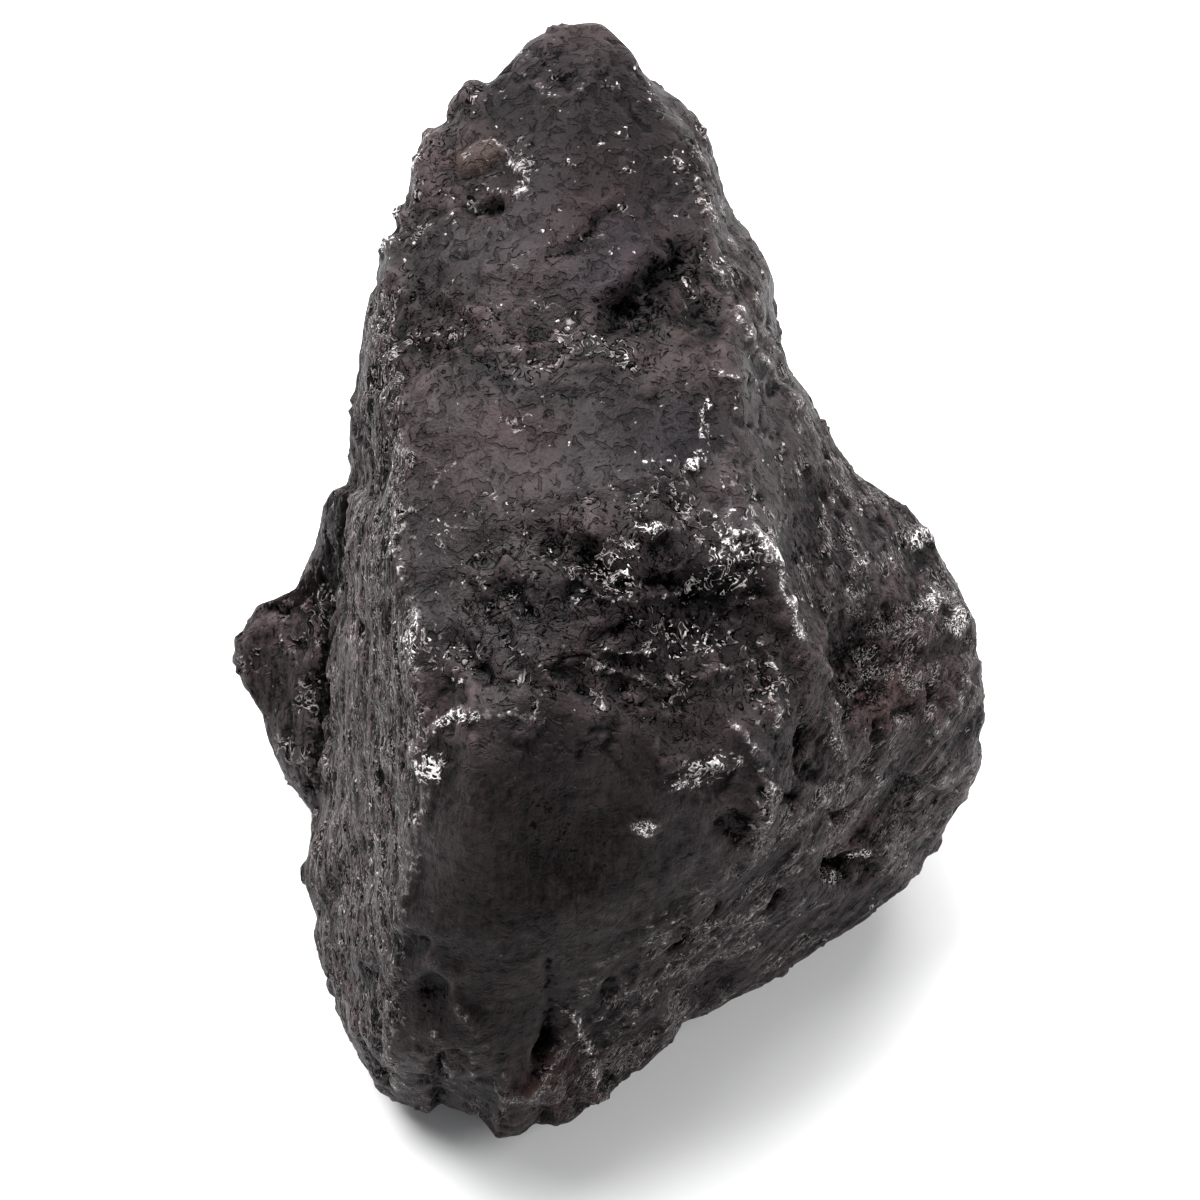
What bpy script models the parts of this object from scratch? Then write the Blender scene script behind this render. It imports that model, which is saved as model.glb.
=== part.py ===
"""An iron meteorite, 67 mm long, lying on the flat worn face of its underside.

The stone is one solid lump. Its form is described the way a carver would mark it out: a dozen long edges
run from the blunt near end to the raised tip, and the skin is stretched across them. Then single thumbprints
are pressed in and lumps are raised, and the resting face is planed off.
Lengths below are millimetres, with X to the right, Y from the near end to the tip and Z up.
"""

import math
from collections import namedtuple

import bmesh
import bpy
from mathutils import Matrix, Vector, noise
from mathutils.kdtree import KDTree

MM = 0.001

# The two ends, where every long edge starts and stops.
NEAR_END = Vector((-6.3, -33.2, 4.0))
TIP = Vector((0.0, 34.2, 24.5))

# The skin is a net of columns, which run along the stone, and rows, which ring it.
COLUMNS = 96
ROWS = 50

# One long edge of the stone. Its column says where it lies round the girth, and its roundness is 0 for a
# crisp edge and 1 for a soft swell. The points are read along the edge from the near end to the tip.
Edge = namedtuple("Edge", "column roundness points")

EDGES = {
    "crown": Edge(0, 1.0, [
        (-6.5, -32.0, 9.0), (-7.0, -29.5, 14.0), (-6.5, -25.5, 21.5), (-6.0, -21.5, 28.0), (-5.0, -17.5, 33.0),
        (-4.5, -14.0, 35.0), (-3.0, -8.0, 36.0), (-2.5, 0.0, 36.0), (-2.5, 14.5, 35.0), (-2.5, 24.0, 33.5),
        (-1.5, 30.0, 32.0), (-0.5, 33.2, 30.5),
    ]),
    "left crest": Edge(8, 0.3, [
        (-12.0, -30.8, 6.5), (-13.0, -29.0, 13.0), (-12.0, -24.5, 20.5), (-11.0, -20.5, 25.0),
        (-10.0, -16.5, 30.0), (-10.5, -12.0, 32.0), (-11.0, -7.0, 33.0), (-12.0, -2.0, 33.0), (-11.5, 2.0, 33.5),
        (-13.0, 8.0, 32.0), (-14.0, 13.0, 31.0), (-12.0, 21.0, 31.0), (-9.0, 27.5, 30.0), (-4.0, 32.8, 29.5),
    ]),
    "left flank": Edge(14, 1.0, [
        (-12.5, -30.6, 4.0), (-15.0, -28.0, 9.0), (-15.5, -22.5, 14.0), (-14.5, -18.5, 18.0), (-14.0, -14.0, 22.0),
        (-14.0, -8.0, 25.5), (-14.5, 0.0, 27.0), (-14.0, 4.5, 27.5), (-14.5, 12.0, 28.0), (-12.5, 22.5, 28.5),
        (-9.0, 28.5, 28.0), (-4.5, 32.8, 27.0),
    ]),
    "left groove": Edge(21, 0.8, [
        (-13.0, -30.3, 2.0), (-16.0, -26.5, 4.5), (-18.0, -22.0, 7.0), (-18.5, -18.0, 9.0), (-18.0, -13.5, 11.0),
        (-18.0, -6.0, 13.5), (-17.0, 0.0, 16.0), (-16.5, 4.0, 17.5), (-15.5, 10.0, 21.5), (-14.5, 17.0, 25.0),
        (-12.0, 25.0, 26.5), (-9.0, 29.0, 26.0), (-4.5, 32.8, 25.0),
    ]),
    "left bulge": Edge(28, 0.7, [
        (-12.5, -30.0, 1.5), (-16.5, -25.0, 3.5), (-18.5, -21.0, 5.0), (-18.5, -16.0, 6.5), (-19.0, -12.0, 6.5),
        (-22.0, -7.5, 7.5), (-24.0, -3.5, 9.0), (-23.5, 0.5, 10.0), (-18.5, 3.0, 12.0), (-16.0, 8.0, 14.0),
        (-14.0, 14.0, 17.0), (-11.0, 24.0, 21.0), (-5.0, 32.3, 22.5),
    ]),
    "left foot": Edge(36, 0.8, [
        (-11.5, -29.5, 0.8), (-16.0, -18.5, 0.8), (-18.0, -6.0, 1.5), (-15.5, 2.5, 4.0), (-12.0, 9.5, 7.0),
        (-10.0, 17.0, 10.5), (-7.5, 27.0, 16.0), (-4.0, 32.5, 19.5),
    ]),
    "keel": Edge(48, 1.0, [
        (-7.0, -30.5, 0.6), (-3.0, -22.5, -1.5), (-1.0, -2.5, -2.0), (-1.0, 9.5, 0.0), (-1.0, 18.5, 5.5),
        (-0.5, 27.0, 12.0), (0.0, 32.5, 17.0),
    ]),
    "right foot": Edge(60, 0.8, [
        (-1.0, -29.0, 0.8), (8.5, -21.5, 0.8), (17.0, -14.0, 2.5), (19.0, -5.0, 5.0), (14.0, 4.5, 7.0),
        (9.5, 13.5, 10.0), (7.0, 25.0, 15.5), (3.5, 32.5, 19.5),
    ]),
    "right outline": Edge(71, 0.8, [
        (-1.0, -30.5, 2.5), (5.0, -26.0, 3.0), (10.0, -23.5, 4.0), (14.5, -21.0, 4.5), (20.5, -16.0, 6.0),
        (23.0, -13.0, 8.5), (24.5, -8.0, 14.5), (23.5, -3.0, 17.5), (21.0, 2.0, 20.0), (15.5, 7.0, 20.5),
        (12.0, 13.5, 21.0), (11.0, 19.0, 22.0), (8.5, 24.5, 23.5), (6.5, 29.0, 25.5), (3.5, 32.7, 25.5),
    ]),
    "shoulder": Edge(76, 0.5, [
        (0.5, -30.5, 4.0), (5.0, -26.5, 5.5), (10.0, -23.0, 7.0), (14.0, -20.5, 8.5), (19.0, -15.0, 12.0),
        (21.5, -10.5, 16.5), (22.5, -7.0, 19.0), (20.5, -2.0, 22.0), (15.5, 4.5, 23.5), (12.5, 10.5, 25.0),
        (10.5, 18.5, 25.5), (8.0, 25.0, 26.5), (5.5, 30.0, 28.0), (3.0, 32.8, 27.5),
    ]),
    "right valley": Edge(82, 1.0, [
        (0.5, -30.0, 5.0), (5.0, -25.5, 9.0), (10.0, -21.0, 13.5), (14.0, -17.0, 17.5), (15.5, -12.0, 22.0),
        (15.5, -6.5, 25.5), (14.0, -1.5, 27.5), (11.0, 5.0, 30.0), (9.5, 12.0, 30.0), (8.5, 19.0, 29.5),
        (7.0, 25.0, 28.5), (4.5, 30.5, 29.0), (2.5, 32.9, 28.5),
    ]),
    "right crest": Edge(88, 0.4, [
        (-2.0, -31.0, 6.0), (0.0, -27.0, 12.0), (3.0, -23.5, 18.0), (6.5, -21.0, 22.0), (9.5, -18.0, 26.0),
        (10.0, -15.0, 29.0), (11.5, -9.0, 31.5), (10.5, -5.5, 33.0), (8.5, 0.0, 34.5), (8.0, 7.0, 34.0),
        (7.0, 14.0, 33.0), (6.5, 22.0, 32.0), (4.0, 28.5, 31.5), (1.5, 32.9, 30.3),
    ]),
}

# A round mark on the skin: its middle, its radius, and how far it is raised, or pressed in where negative.
Mark = namedtuple("Mark", "middle radius height")

THUMBPRINTS = {
    "hollow before the crown": Mark((3.0, -8.0, 35.0), 8.5, -2.2),
    "hollow by the right crest": Mark((2.5, 12.0, 34.0), 4.5, -1.6),
    "valley beside the right crest": Mark((6.0, 9.5, 33.5), 4.0, -1.0),
    "pebbled dip on the left": Mark((-10.0, 11.0, 33.0), 4.5, -0.9),
    "scoop of the front face": Mark((-1.0, -22.0, 25.0), 8.0, -1.2),
    "low scoop of the front face": Mark((-10.0, -29.0, 14.0), 4.5, -1.0),
    "pit of the near end": Mark((-3.0, -30.0, 10.0), 3.5, -1.0),
    "pit behind the front crest": Mark((8.5, -18.0, 26.0), 3.5, -0.9),
    "scoop of the right flank": Mark((17.0, -10.0, 22.0), 4.5, -1.3),
    "scoop under the ledge": Mark((16.0, -19.0, 12.0), 3.5, -1.0),
    "long scoop of the right flank": Mark((11.0, -20.0, 15.0), 4.5, -0.9),
    "dish of the left flank": Mark((-14.5, -13.0, 22.0), 5.0, -0.8),
    "dish over the left groove": Mark((-16.0, 12.0, 25.0), 5.0, -0.8),
    "print of the left bulge": Mark((-22.5, -2.0, 4.0), 5.5, -1.1),
    "print under the left groove": Mark((-19.0, -16.0, 3.0), 5.0, -1.0),
    "back print, left": Mark((-13.5, 8.0, 9.0), 6.0, -1.6),
    "back print, high left": Mark((-12.0, 20.0, 18.0), 6.0, -1.4),
    "back print, middle": Mark((-2.0, 16.0, 4.0), 7.0, -1.6),
    "back print, right": Mark((10.5, 9.0, 10.0), 6.5, -1.7),
    "back print, high right": Mark((9.0, 20.0, 18.0), 5.5, -1.3),
    "print under the tip": Mark((0.0, 27.0, 12.0), 5.5, -1.3),
    "print of the tip's end": Mark((1.0, 33.0, 23.0), 4.5, -1.0),
    "right print, high": Mark((20.5, 1.5, 14.0), 6.0, -1.5),
    "right print, low": Mark((21.5, -9.0, 6.5), 5.5, -1.3),
}

LUMPS = {
    "knob of the near edge": Mark((-9.0, -16.0, 31.5), 3.0, 0.8),
    "swell of the crown": Mark((-4.0, 2.5, 36.0), 6.0, 0.5),
    "band across the crown": Mark((-2.0, 10.5, 35.5), 3.5, 0.6),
    "patch near the tip": Mark((-7.5, 21.5, 32.5), 3.0, 0.8),
    "step of the right crest": Mark((8.0, 2.0, 34.0), 3.0, 0.7),
    "knee of the right crest": Mark((11.5, -9.0, 31.5), 3.0, 0.8),
    "flake of the shoulder": Mark((20.0, 1.0, 21.5), 3.0, 0.9),
    "spine of the left bulge": Mark((-22.0, -3.0, 10.5), 3.5, 0.7),
    "wrist between the back prints": Mark((-6.5, 13.0, 5.5), 4.0, 0.9),
    "ridge between the right prints": Mark((21.0, -4.5, 9.0), 4.0, 0.9),
    "lip of the tip": Mark((-1.0, 31.5, 30.5), 3.0, 0.5),
}

# The unevenness left all over the skin, as layers of (grain, depth).
UNEVENNESS = [(9.0, 0.55), (4.2, 0.4), (2.2, 0.22)]
UNEVENNESS_SEED = Vector((31.0, 7.0, 52.0))

# The skin is softened this far round each end, where all the long edges come together.
END_RADIUS = 5.5
END_PASSES = 6

# Edges sharper than this stay crisp when the skin is shaded.
CRISP_ANGLE = 50.0

# The stone's own material.
CRUST_COLOUR = (0.045, 0.040, 0.038, 1.0)
CRUST_METALLIC = 0.6
CRUST_ROUGHNESS = 0.5

COLLECTION = "meteorite"


def hermite(a, b, slope_a, slope_b, span, t):
    """The smooth curve from a to b, span long, that leaves with slope_a and arrives with slope_b."""
    t2, t3 = t * t, t * t * t
    return (
        a * (2 * t3 - 3 * t2 + 1)
        + slope_a * (span * (t3 - 2 * t2 + t))
        + b * (3 * t2 - 2 * t3)
        + slope_b * (span * (t3 - t2))
    )


def latitude_of(y):
    """How far y is along the stone, as the angle from the near end that makes both ends round."""
    middle, half = (TIP.y + NEAR_END.y) / 2, (TIP.y - NEAR_END.y) / 2
    return math.acos(max(-1.0, min(1.0, (middle - y) / half)))


def edge_curve(edge):
    """The edge as knots (latitude, point) with a slope at each, from pole to pole."""
    points = [NEAR_END] + [Vector(point) for point in edge.points] + [TIP]
    knots = [(latitude_of(point.y), point) for point in points]
    slopes = []
    last = len(knots) - 1
    for i in range(len(knots)):
        before, after = knots[max(i - 1, 0)], knots[min(i + 1, last)]
        slopes.append((after[1] - before[1]) / (after[0] - before[0]))
    return knots, slopes


def point_on(curve, latitude):
    """The point of an edge curve at this latitude."""
    knots, slopes = curve
    i = 0
    while i < len(knots) - 2 and latitude > knots[i + 1][0]:
        i += 1
    span = knots[i + 1][0] - knots[i][0]
    t = (latitude - knots[i][0]) / span
    return hermite(knots[i][1], knots[i + 1][1], slopes[i], slopes[i + 1], span, t)


def ring_point(corners, column):
    """The point of one ring at this column, on a curve through the ring's corners."""
    count = len(corners)
    for i, (start, roundness, point) in enumerate(corners):
        end, next_roundness, next_point = corners[(i + 1) % count]
        width = (end - start) % COLUMNS
        along = (column - start) % COLUMNS
        if along < width:
            break
    before_start, _, before = corners[i - 1]
    after_end, _, after = corners[(i + 2) % count]
    chord = (next_point - point) / width
    slope = (next_point - before) / ((end - before_start) % COLUMNS)
    next_slope = (after - point) / ((after_end - start) % COLUMNS)
    slope = chord.lerp(slope, roundness)
    next_slope = chord.lerp(next_slope, next_roundness)
    return hermite(point, next_point, slope, next_slope, width, along / width)


def stretched_skin():
    """A sphere's net, stretched over the long edges."""
    skin = bmesh.new()
    bmesh.ops.create_uvsphere(skin, u_segments=COLUMNS, v_segments=ROWS, radius=1.0)
    curves = [(edge.column, edge.roundness, edge_curve(edge)) for edge in EDGES.values()]
    for vertex in skin.verts:
        x, y, z = vertex.co
        latitude = math.acos(max(-1.0, min(1.0, -z)))
        column = math.atan2(y, x) / math.tau * COLUMNS % COLUMNS
        corners = [(start, roundness, point_on(curve, latitude)) for start, roundness, curve in curves]
        vertex.co = ring_point(corners, column)
    bmesh.ops.recalc_face_normals(skin, faces=skin.faces[:])
    skin.normal_update()
    return skin


def soften_ends(skin):
    """Rounds off the creases that gather at the two ends of the stone."""
    for end in (NEAR_END, TIP):
        gathered = [vertex for vertex in skin.verts if (vertex.co - end).length < END_RADIUS]
        for _ in range(END_PASSES):
            bmesh.ops.smooth_vert(
                skin, verts=gathered, factor=0.5, use_axis_x=True, use_axis_y=True, use_axis_z=True
            )
    skin.normal_update()


def press_marks(skin, marks):
    """Raises or presses in every mark, along the skin's own direction at the mark's middle."""
    skin.verts.ensure_lookup_table()
    nearby = KDTree(len(skin.verts))
    for vertex in skin.verts:
        nearby.insert(vertex.co, vertex.index)
    nearby.balance()
    moves = {}
    for mark in marks:
        middle, nearest, _ = nearby.find(mark.middle)
        direction = skin.verts[nearest].normal.copy()
        for _, index, distance in nearby.find_range(middle, mark.radius):
            swell = (1.0 - (distance / mark.radius) ** 2) ** 2
            moves[index] = moves.get(index, Vector()) + direction * (mark.height * swell)
    for index, move in moves.items():
        skin.verts[index].co += move
    skin.normal_update()


def roughen(skin):
    """Leaves the skin slightly uneven all over."""
    moves = []
    for vertex in skin.verts:
        rise = 0.0
        for grain, depth in UNEVENNESS:
            rise += depth * noise.noise(vertex.co / grain + UNEVENNESS_SEED)
        moves.append(vertex.normal * rise)
    for vertex, move in zip(skin.verts, moves):
        vertex.co += move
    skin.normal_update()


def plane_resting_face(skin):
    """Cuts the underside off flat at Z 0 and closes it with one face."""
    everything = skin.verts[:] + skin.edges[:] + skin.faces[:]
    cut = bmesh.ops.bisect_plane(
        skin, geom=everything, dist=1e-4, plane_co=(0, 0, 0), plane_no=(0, 0, 1), clear_inner=True
    )
    rim = [item for item in cut["geom_cut"] if isinstance(item, bmesh.types.BMEdge)]
    bmesh.ops.edgeloop_fill(skin, edges=rim)
    bmesh.ops.recalc_face_normals(skin, faces=skin.faces[:])


def centre_on_footprint(skin):
    """Moves the stone so that the middle of its bounding box stands on the origin."""
    xs = [vertex.co.x for vertex in skin.verts]
    ys = [vertex.co.y for vertex in skin.verts]
    shift = Vector((-(min(xs) + max(xs)) / 2, -(min(ys) + max(ys)) / 2, 0.0))
    bmesh.ops.translate(skin, verts=skin.verts[:], vec=shift)


def crust_material():
    material = bpy.data.materials.new("dark_iron_crust")
    material.use_nodes = True
    shader = material.node_tree.nodes["Principled BSDF"]
    shader.inputs["Base Color"].default_value = CRUST_COLOUR
    shader.inputs["Metallic"].default_value = CRUST_METALLIC
    shader.inputs["Roughness"].default_value = CRUST_ROUGHNESS
    return material


def main():
    for old in list(bpy.data.objects):
        bpy.data.objects.remove(old)
    collection = bpy.data.collections.new(COLLECTION)
    bpy.context.scene.collection.children.link(collection)

    skin = stretched_skin()
    soften_ends(skin)
    press_marks(skin, THUMBPRINTS.values())
    press_marks(skin, LUMPS.values())
    roughen(skin)
    plane_resting_face(skin)
    centre_on_footprint(skin)
    bmesh.ops.transform(skin, matrix=Matrix.Scale(MM, 4), verts=skin.verts[:])

    mesh = bpy.data.meshes.new("meteorite")
    skin.to_mesh(mesh)
    skin.free()
    mesh.shade_smooth()
    mesh.set_sharp_from_angle(angle=math.radians(CRISP_ANGLE))
    mesh.materials.append(crust_material())
    stone = bpy.data.objects.new("meteorite", mesh)
    collection.objects.link(stone)


main()
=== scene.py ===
# %% [markdown]
# An iron meteorite on a white table, seen from above.
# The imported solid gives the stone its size, its long crests and its larger thumbprints. This lesson turns
# that plain lump into a weathered iron crust: ragged outline, crests, cracks, pits, flakes, fibres and wear.
# Everything is in metres in the solid's own frame. Sizes of marks are given in millimetres, and places are
# given in pixels of the square picture that the camera frames, because that is how they were observed.

# %% The frame and the measures
import math
from collections import namedtuple

import bmesh
import bpy
import numpy as np
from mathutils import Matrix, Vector


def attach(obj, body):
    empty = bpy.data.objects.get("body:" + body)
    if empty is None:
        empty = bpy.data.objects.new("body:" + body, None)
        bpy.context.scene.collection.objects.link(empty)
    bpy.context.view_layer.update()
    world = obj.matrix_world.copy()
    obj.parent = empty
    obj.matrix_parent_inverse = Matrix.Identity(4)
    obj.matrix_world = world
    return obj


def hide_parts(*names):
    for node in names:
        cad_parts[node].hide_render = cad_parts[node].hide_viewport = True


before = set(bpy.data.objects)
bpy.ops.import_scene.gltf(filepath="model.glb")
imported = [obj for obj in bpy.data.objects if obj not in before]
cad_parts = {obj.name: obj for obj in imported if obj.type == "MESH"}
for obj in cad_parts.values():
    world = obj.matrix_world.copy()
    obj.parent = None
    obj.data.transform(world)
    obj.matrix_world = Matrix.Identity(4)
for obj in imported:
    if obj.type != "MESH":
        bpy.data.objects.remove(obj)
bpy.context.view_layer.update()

MM = 0.001
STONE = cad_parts["meteorite"]

# %% [markdown]
# The camera stands close over the stone and looks 20 degrees off straight down. A long lens at a short
# distance gives the same framing as the picture, in which 16 pixels are about a millimetre at the stone's
# middle. The same numbers turn any point of the stone into a pixel, which later cells use to place marks.

# %% Camera
PICTURE = 1200
FOCAL = 3200.0
ELEVATION = math.radians(70.0)
DISTANCE = 200.0 * MM
AIM = np.array([0.0, -2.4, 20.0]) * MM
SENSOR = 36.0
PIXELS_PER_MM = FOCAL * MM / DISTANCE

RIGHT = np.array([1.0, 0.0, 0.0])
UPWARD = np.array([0.0, math.sin(ELEVATION), math.cos(ELEVATION)])
BACK = np.array([0.0, -math.cos(ELEVATION), math.sin(ELEVATION)])
EYE = AIM + DISTANCE * BACK


def picture_pixels(points):
    """The pixel across, the pixel down and the depth at which the camera sees each point."""
    ray = points - EYE
    depth = -(ray @ BACK)
    across = PICTURE / 2 + FOCAL * (ray @ RIGHT) / depth
    down = PICTURE / 2 - FOCAL * (ray @ UPWARD) / depth
    return across, down, depth


scene = bpy.context.scene
camera = bpy.data.objects.new("camera", bpy.data.cameras.new("camera"))
scene.collection.objects.link(camera)
camera.data.sensor_width = SENSOR
camera.data.lens = SENSOR * FOCAL / PICTURE
camera.data.clip_start, camera.data.clip_end = 0.01, 10.0
camera.location = EYE
camera.rotation_euler = Vector(-BACK).to_track_quat("-Z", "Y").to_euler()
scene.camera = camera
print(f"camera at {[round(value / MM) for value in EYE]} mm, {PIXELS_PER_MM:.0f} pixels to a millimetre")

# %% [markdown]
# The raw material is a copy of the solid. A voxel remesh gives it one even net, fine enough for marks of
# about half a millimetre, and a few rounds of averaging melt away the flat facets of the solid. A remesh is
# chosen over subdivision because the net then has the same grain on every side of the stone.

# %% An even net over the solid
NET_GRAIN = 0.332 * MM
MELTING_ROUNDS = 16


def fine_copy(source):
    """The solid's mesh as one closed net of even grain."""
    loose = bmesh.new()
    loose.from_mesh(source.data)
    bmesh.ops.remove_doubles(loose, verts=loose.verts, dist=0.001 * MM)
    merged = bpy.data.meshes.new("merged_solid")
    loose.to_mesh(merged)
    loose.free()
    holder = bpy.data.objects.new("merged_solid", merged)
    scene.collection.objects.link(holder)
    remesh = holder.modifiers.new("even net", "REMESH")
    remesh.mode = "VOXEL"
    remesh.voxel_size = NET_GRAIN
    graph = bpy.context.evaluated_depsgraph_get()
    fine = bpy.data.meshes.new_from_object(holder.evaluated_get(graph))
    bpy.data.objects.remove(holder)
    return fine


class Net:
    """The points of a mesh as an array, with quick averages over neighbours."""

    def __init__(self, mesh):
        self.mesh = mesh
        count = len(mesh.vertices)
        self.points = np.empty(count * 3)
        mesh.vertices.foreach_get("co", self.points)
        self.points = self.points.reshape(-1, 3)
        ends = np.empty(len(mesh.edges) * 2, np.int64)
        mesh.edges.foreach_get("vertices", ends)
        self.start = np.concatenate([ends[0::2], ends[1::2]])
        self.end = np.concatenate([ends[1::2], ends[0::2]])
        self.degree = np.bincount(self.start, minlength=count)

    def average(self, values):
        """Each point's mean of its neighbours' values."""
        columns = values.reshape(len(values), -1).T
        count = len(values)
        sums = [np.bincount(self.start, weights=column[self.end], minlength=count) for column in columns]
        return (np.stack(sums, axis=1) / self.degree[:, None]).reshape(values.shape)

    def melt(self, values, rounds):
        """The values after some rounds of averaging."""
        for _ in range(rounds):
            values = 0.5 * values + 0.5 * self.average(values)
        return values

    def write(self):
        """Puts the points back in the mesh and returns the new normals."""
        self.mesh.vertices.foreach_set("co", self.points.ravel())
        self.mesh.update()
        normals = np.empty(len(self.points) * 3)
        self.mesh.vertex_normals.foreach_get("vector", normals)
        return normals.reshape(-1, 3)


stone_mesh = fine_copy(STONE)
net = Net(stone_mesh)
net.points = net.melt(net.points, MELTING_ROUNDS)
normals = net.write()
print(f"net: {len(net.points)} points, {2 * len(stone_mesh.polygons)} triangles")

# %% [markdown]
# The outline of the stone was observed clockwise from the tip, in pixels. The net is trimmed to it by a
# stretch in the picture's plane that is full at the outline and dies away towards the middle, so the crests
# stay where the solid has them. This keeps the depth of every point, so other views hardly change.

# %% The ragged outline
OUTLINE = [
    (555, 28), (572, 25), (590, 22), (605, 23), (618, 35), (632, 50), (640, 66), (660, 85), (680, 95),
    (695, 105), (707, 122), (715, 140), (722, 165), (727, 190), (738, 213), (750, 225), (765, 250),
    (775, 282), (773, 300), (780, 335), (790, 370), (812, 400), (824, 425), (840, 450), (858, 472),
    (880, 488), (910, 508), (935, 537), (950, 568), (965, 598), (977, 625), (975, 660), (985, 700),
    (985, 720), (975, 760), (960, 800), (945, 835), (925, 860), (905, 888), (880, 905), (850, 930),
    (820, 948), (790, 968), (760, 988), (730, 1000), (712, 1013), (690, 1022), (680, 1028), (675, 1045),
    (660, 1058), (640, 1075), (620, 1090), (600, 1105), (585, 1115), (570, 1125), (555, 1130),
    (535, 1128), (520, 1138), (495, 1140), (487, 1125), (470, 1118), (450, 1110), (437, 1105),
    (430, 1116), (415, 1110), (395, 1103), (375, 1090), (365, 1070), (350, 1050), (340, 1020),
    (333, 1000), (320, 970), (312, 935), (316, 920), (305, 890), (303, 870), (312, 830), (311, 812),
    (300, 798), (280, 770), (268, 740), (262, 715), (245, 690), (236, 665), (236, 648), (245, 620),
    (252, 604), (270, 598), (290, 588), (302, 570), (315, 545), (322, 515), (331, 490), (345, 486),
    (350, 470), (349, 440), (352, 400), (355, 370), (360, 330), (371, 288), (378, 250), (393, 225),
    (405, 190), (413, 155), (425, 128), (444, 118), (460, 85), (475, 78), (485, 83), (495, 75),
    (510, 60), (530, 40),
]
OUTLINE_MIDDLE = (600, 600)
OUTLINE_STEPS = 240
STRETCH_FROM = 0.72


def reach_of_outline(bearings):
    """How far the observed outline lies from its middle, at each bearing."""
    corners = np.array(OUTLINE, float) - OUTLINE_MIDDLE
    angles = np.arctan2(corners[:, 1], corners[:, 0])
    order = np.argsort(angles)
    return np.interp(bearings, angles[order], np.hypot(*corners.T)[order], period=math.tau)


def reach_of_net(bearings, away, steps):
    """How far the net reaches from the same middle at each bearing, by the furthest point of each step."""
    step = ((bearings + math.pi) / math.tau * steps).astype(int) % steps
    furthest = np.zeros(steps)
    np.maximum.at(furthest, step, away)
    middles = (np.arange(steps) + 0.5) / steps * math.tau - math.pi
    return np.interp(bearings, middles, furthest, period=math.tau)


def smooth_step(low, high, value):
    """0 below low, 1 above high and a soft slope between."""
    share = np.clip((value - low) / (high - low), 0.0, 1.0)
    return share * share * (3.0 - 2.0 * share)


def trim_to_outline():
    """Stretches the net in the picture's plane to the outline and returns the largest shift in pixels."""
    across, down, depth = picture_pixels(net.points)
    across, down = across - OUTLINE_MIDDLE[0], down - OUTLINE_MIDDLE[1]
    bearings, away = np.arctan2(down, across), np.hypot(across, down)
    have = reach_of_net(bearings, away, OUTLINE_STEPS)
    stretch = (reach_of_outline(bearings) / have - 1.0) * smooth_step(STRETCH_FROM, 1.0, away / have)
    shift = RIGHT * (across * stretch)[:, None] - UPWARD * (down * stretch)[:, None]
    net.points += shift * (depth / FOCAL)[:, None]
    return np.abs(stretch * away).max()


largest = trim_to_outline()
net.points = net.melt(net.points, 1)
normals = net.write()
print(f"trimmed to the outline, by {largest:.0f} pixels at most")

# %% [markdown]
# A crust isn't rough in the same way everywhere. The rough borders of the crown are pebbled, the hollow in
# the middle is wrinkled like dried paint, the flanks are fibrous, and a few places are worn smooth. Each kind
# gets a number from 0 to 1 at every point, from patches drawn in the picture with a soft and slightly ragged
# rim. The sides that the picture doesn't show get pebbles and fibres in random patches of their own.
# Two more numbers, flecked and mottled, only vary from place to place and break up the finish.

# %% Kinds of crust, point by point
RIM = 14.0
WOBBLE = 12.0
WOBBLE_GRAIN = 3.0 * MM
FACING = (0.02, 0.22)
FLECK_GRAIN = 1.6 * MM
MOTTLE_GRAIN = 3.5 * MM

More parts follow.
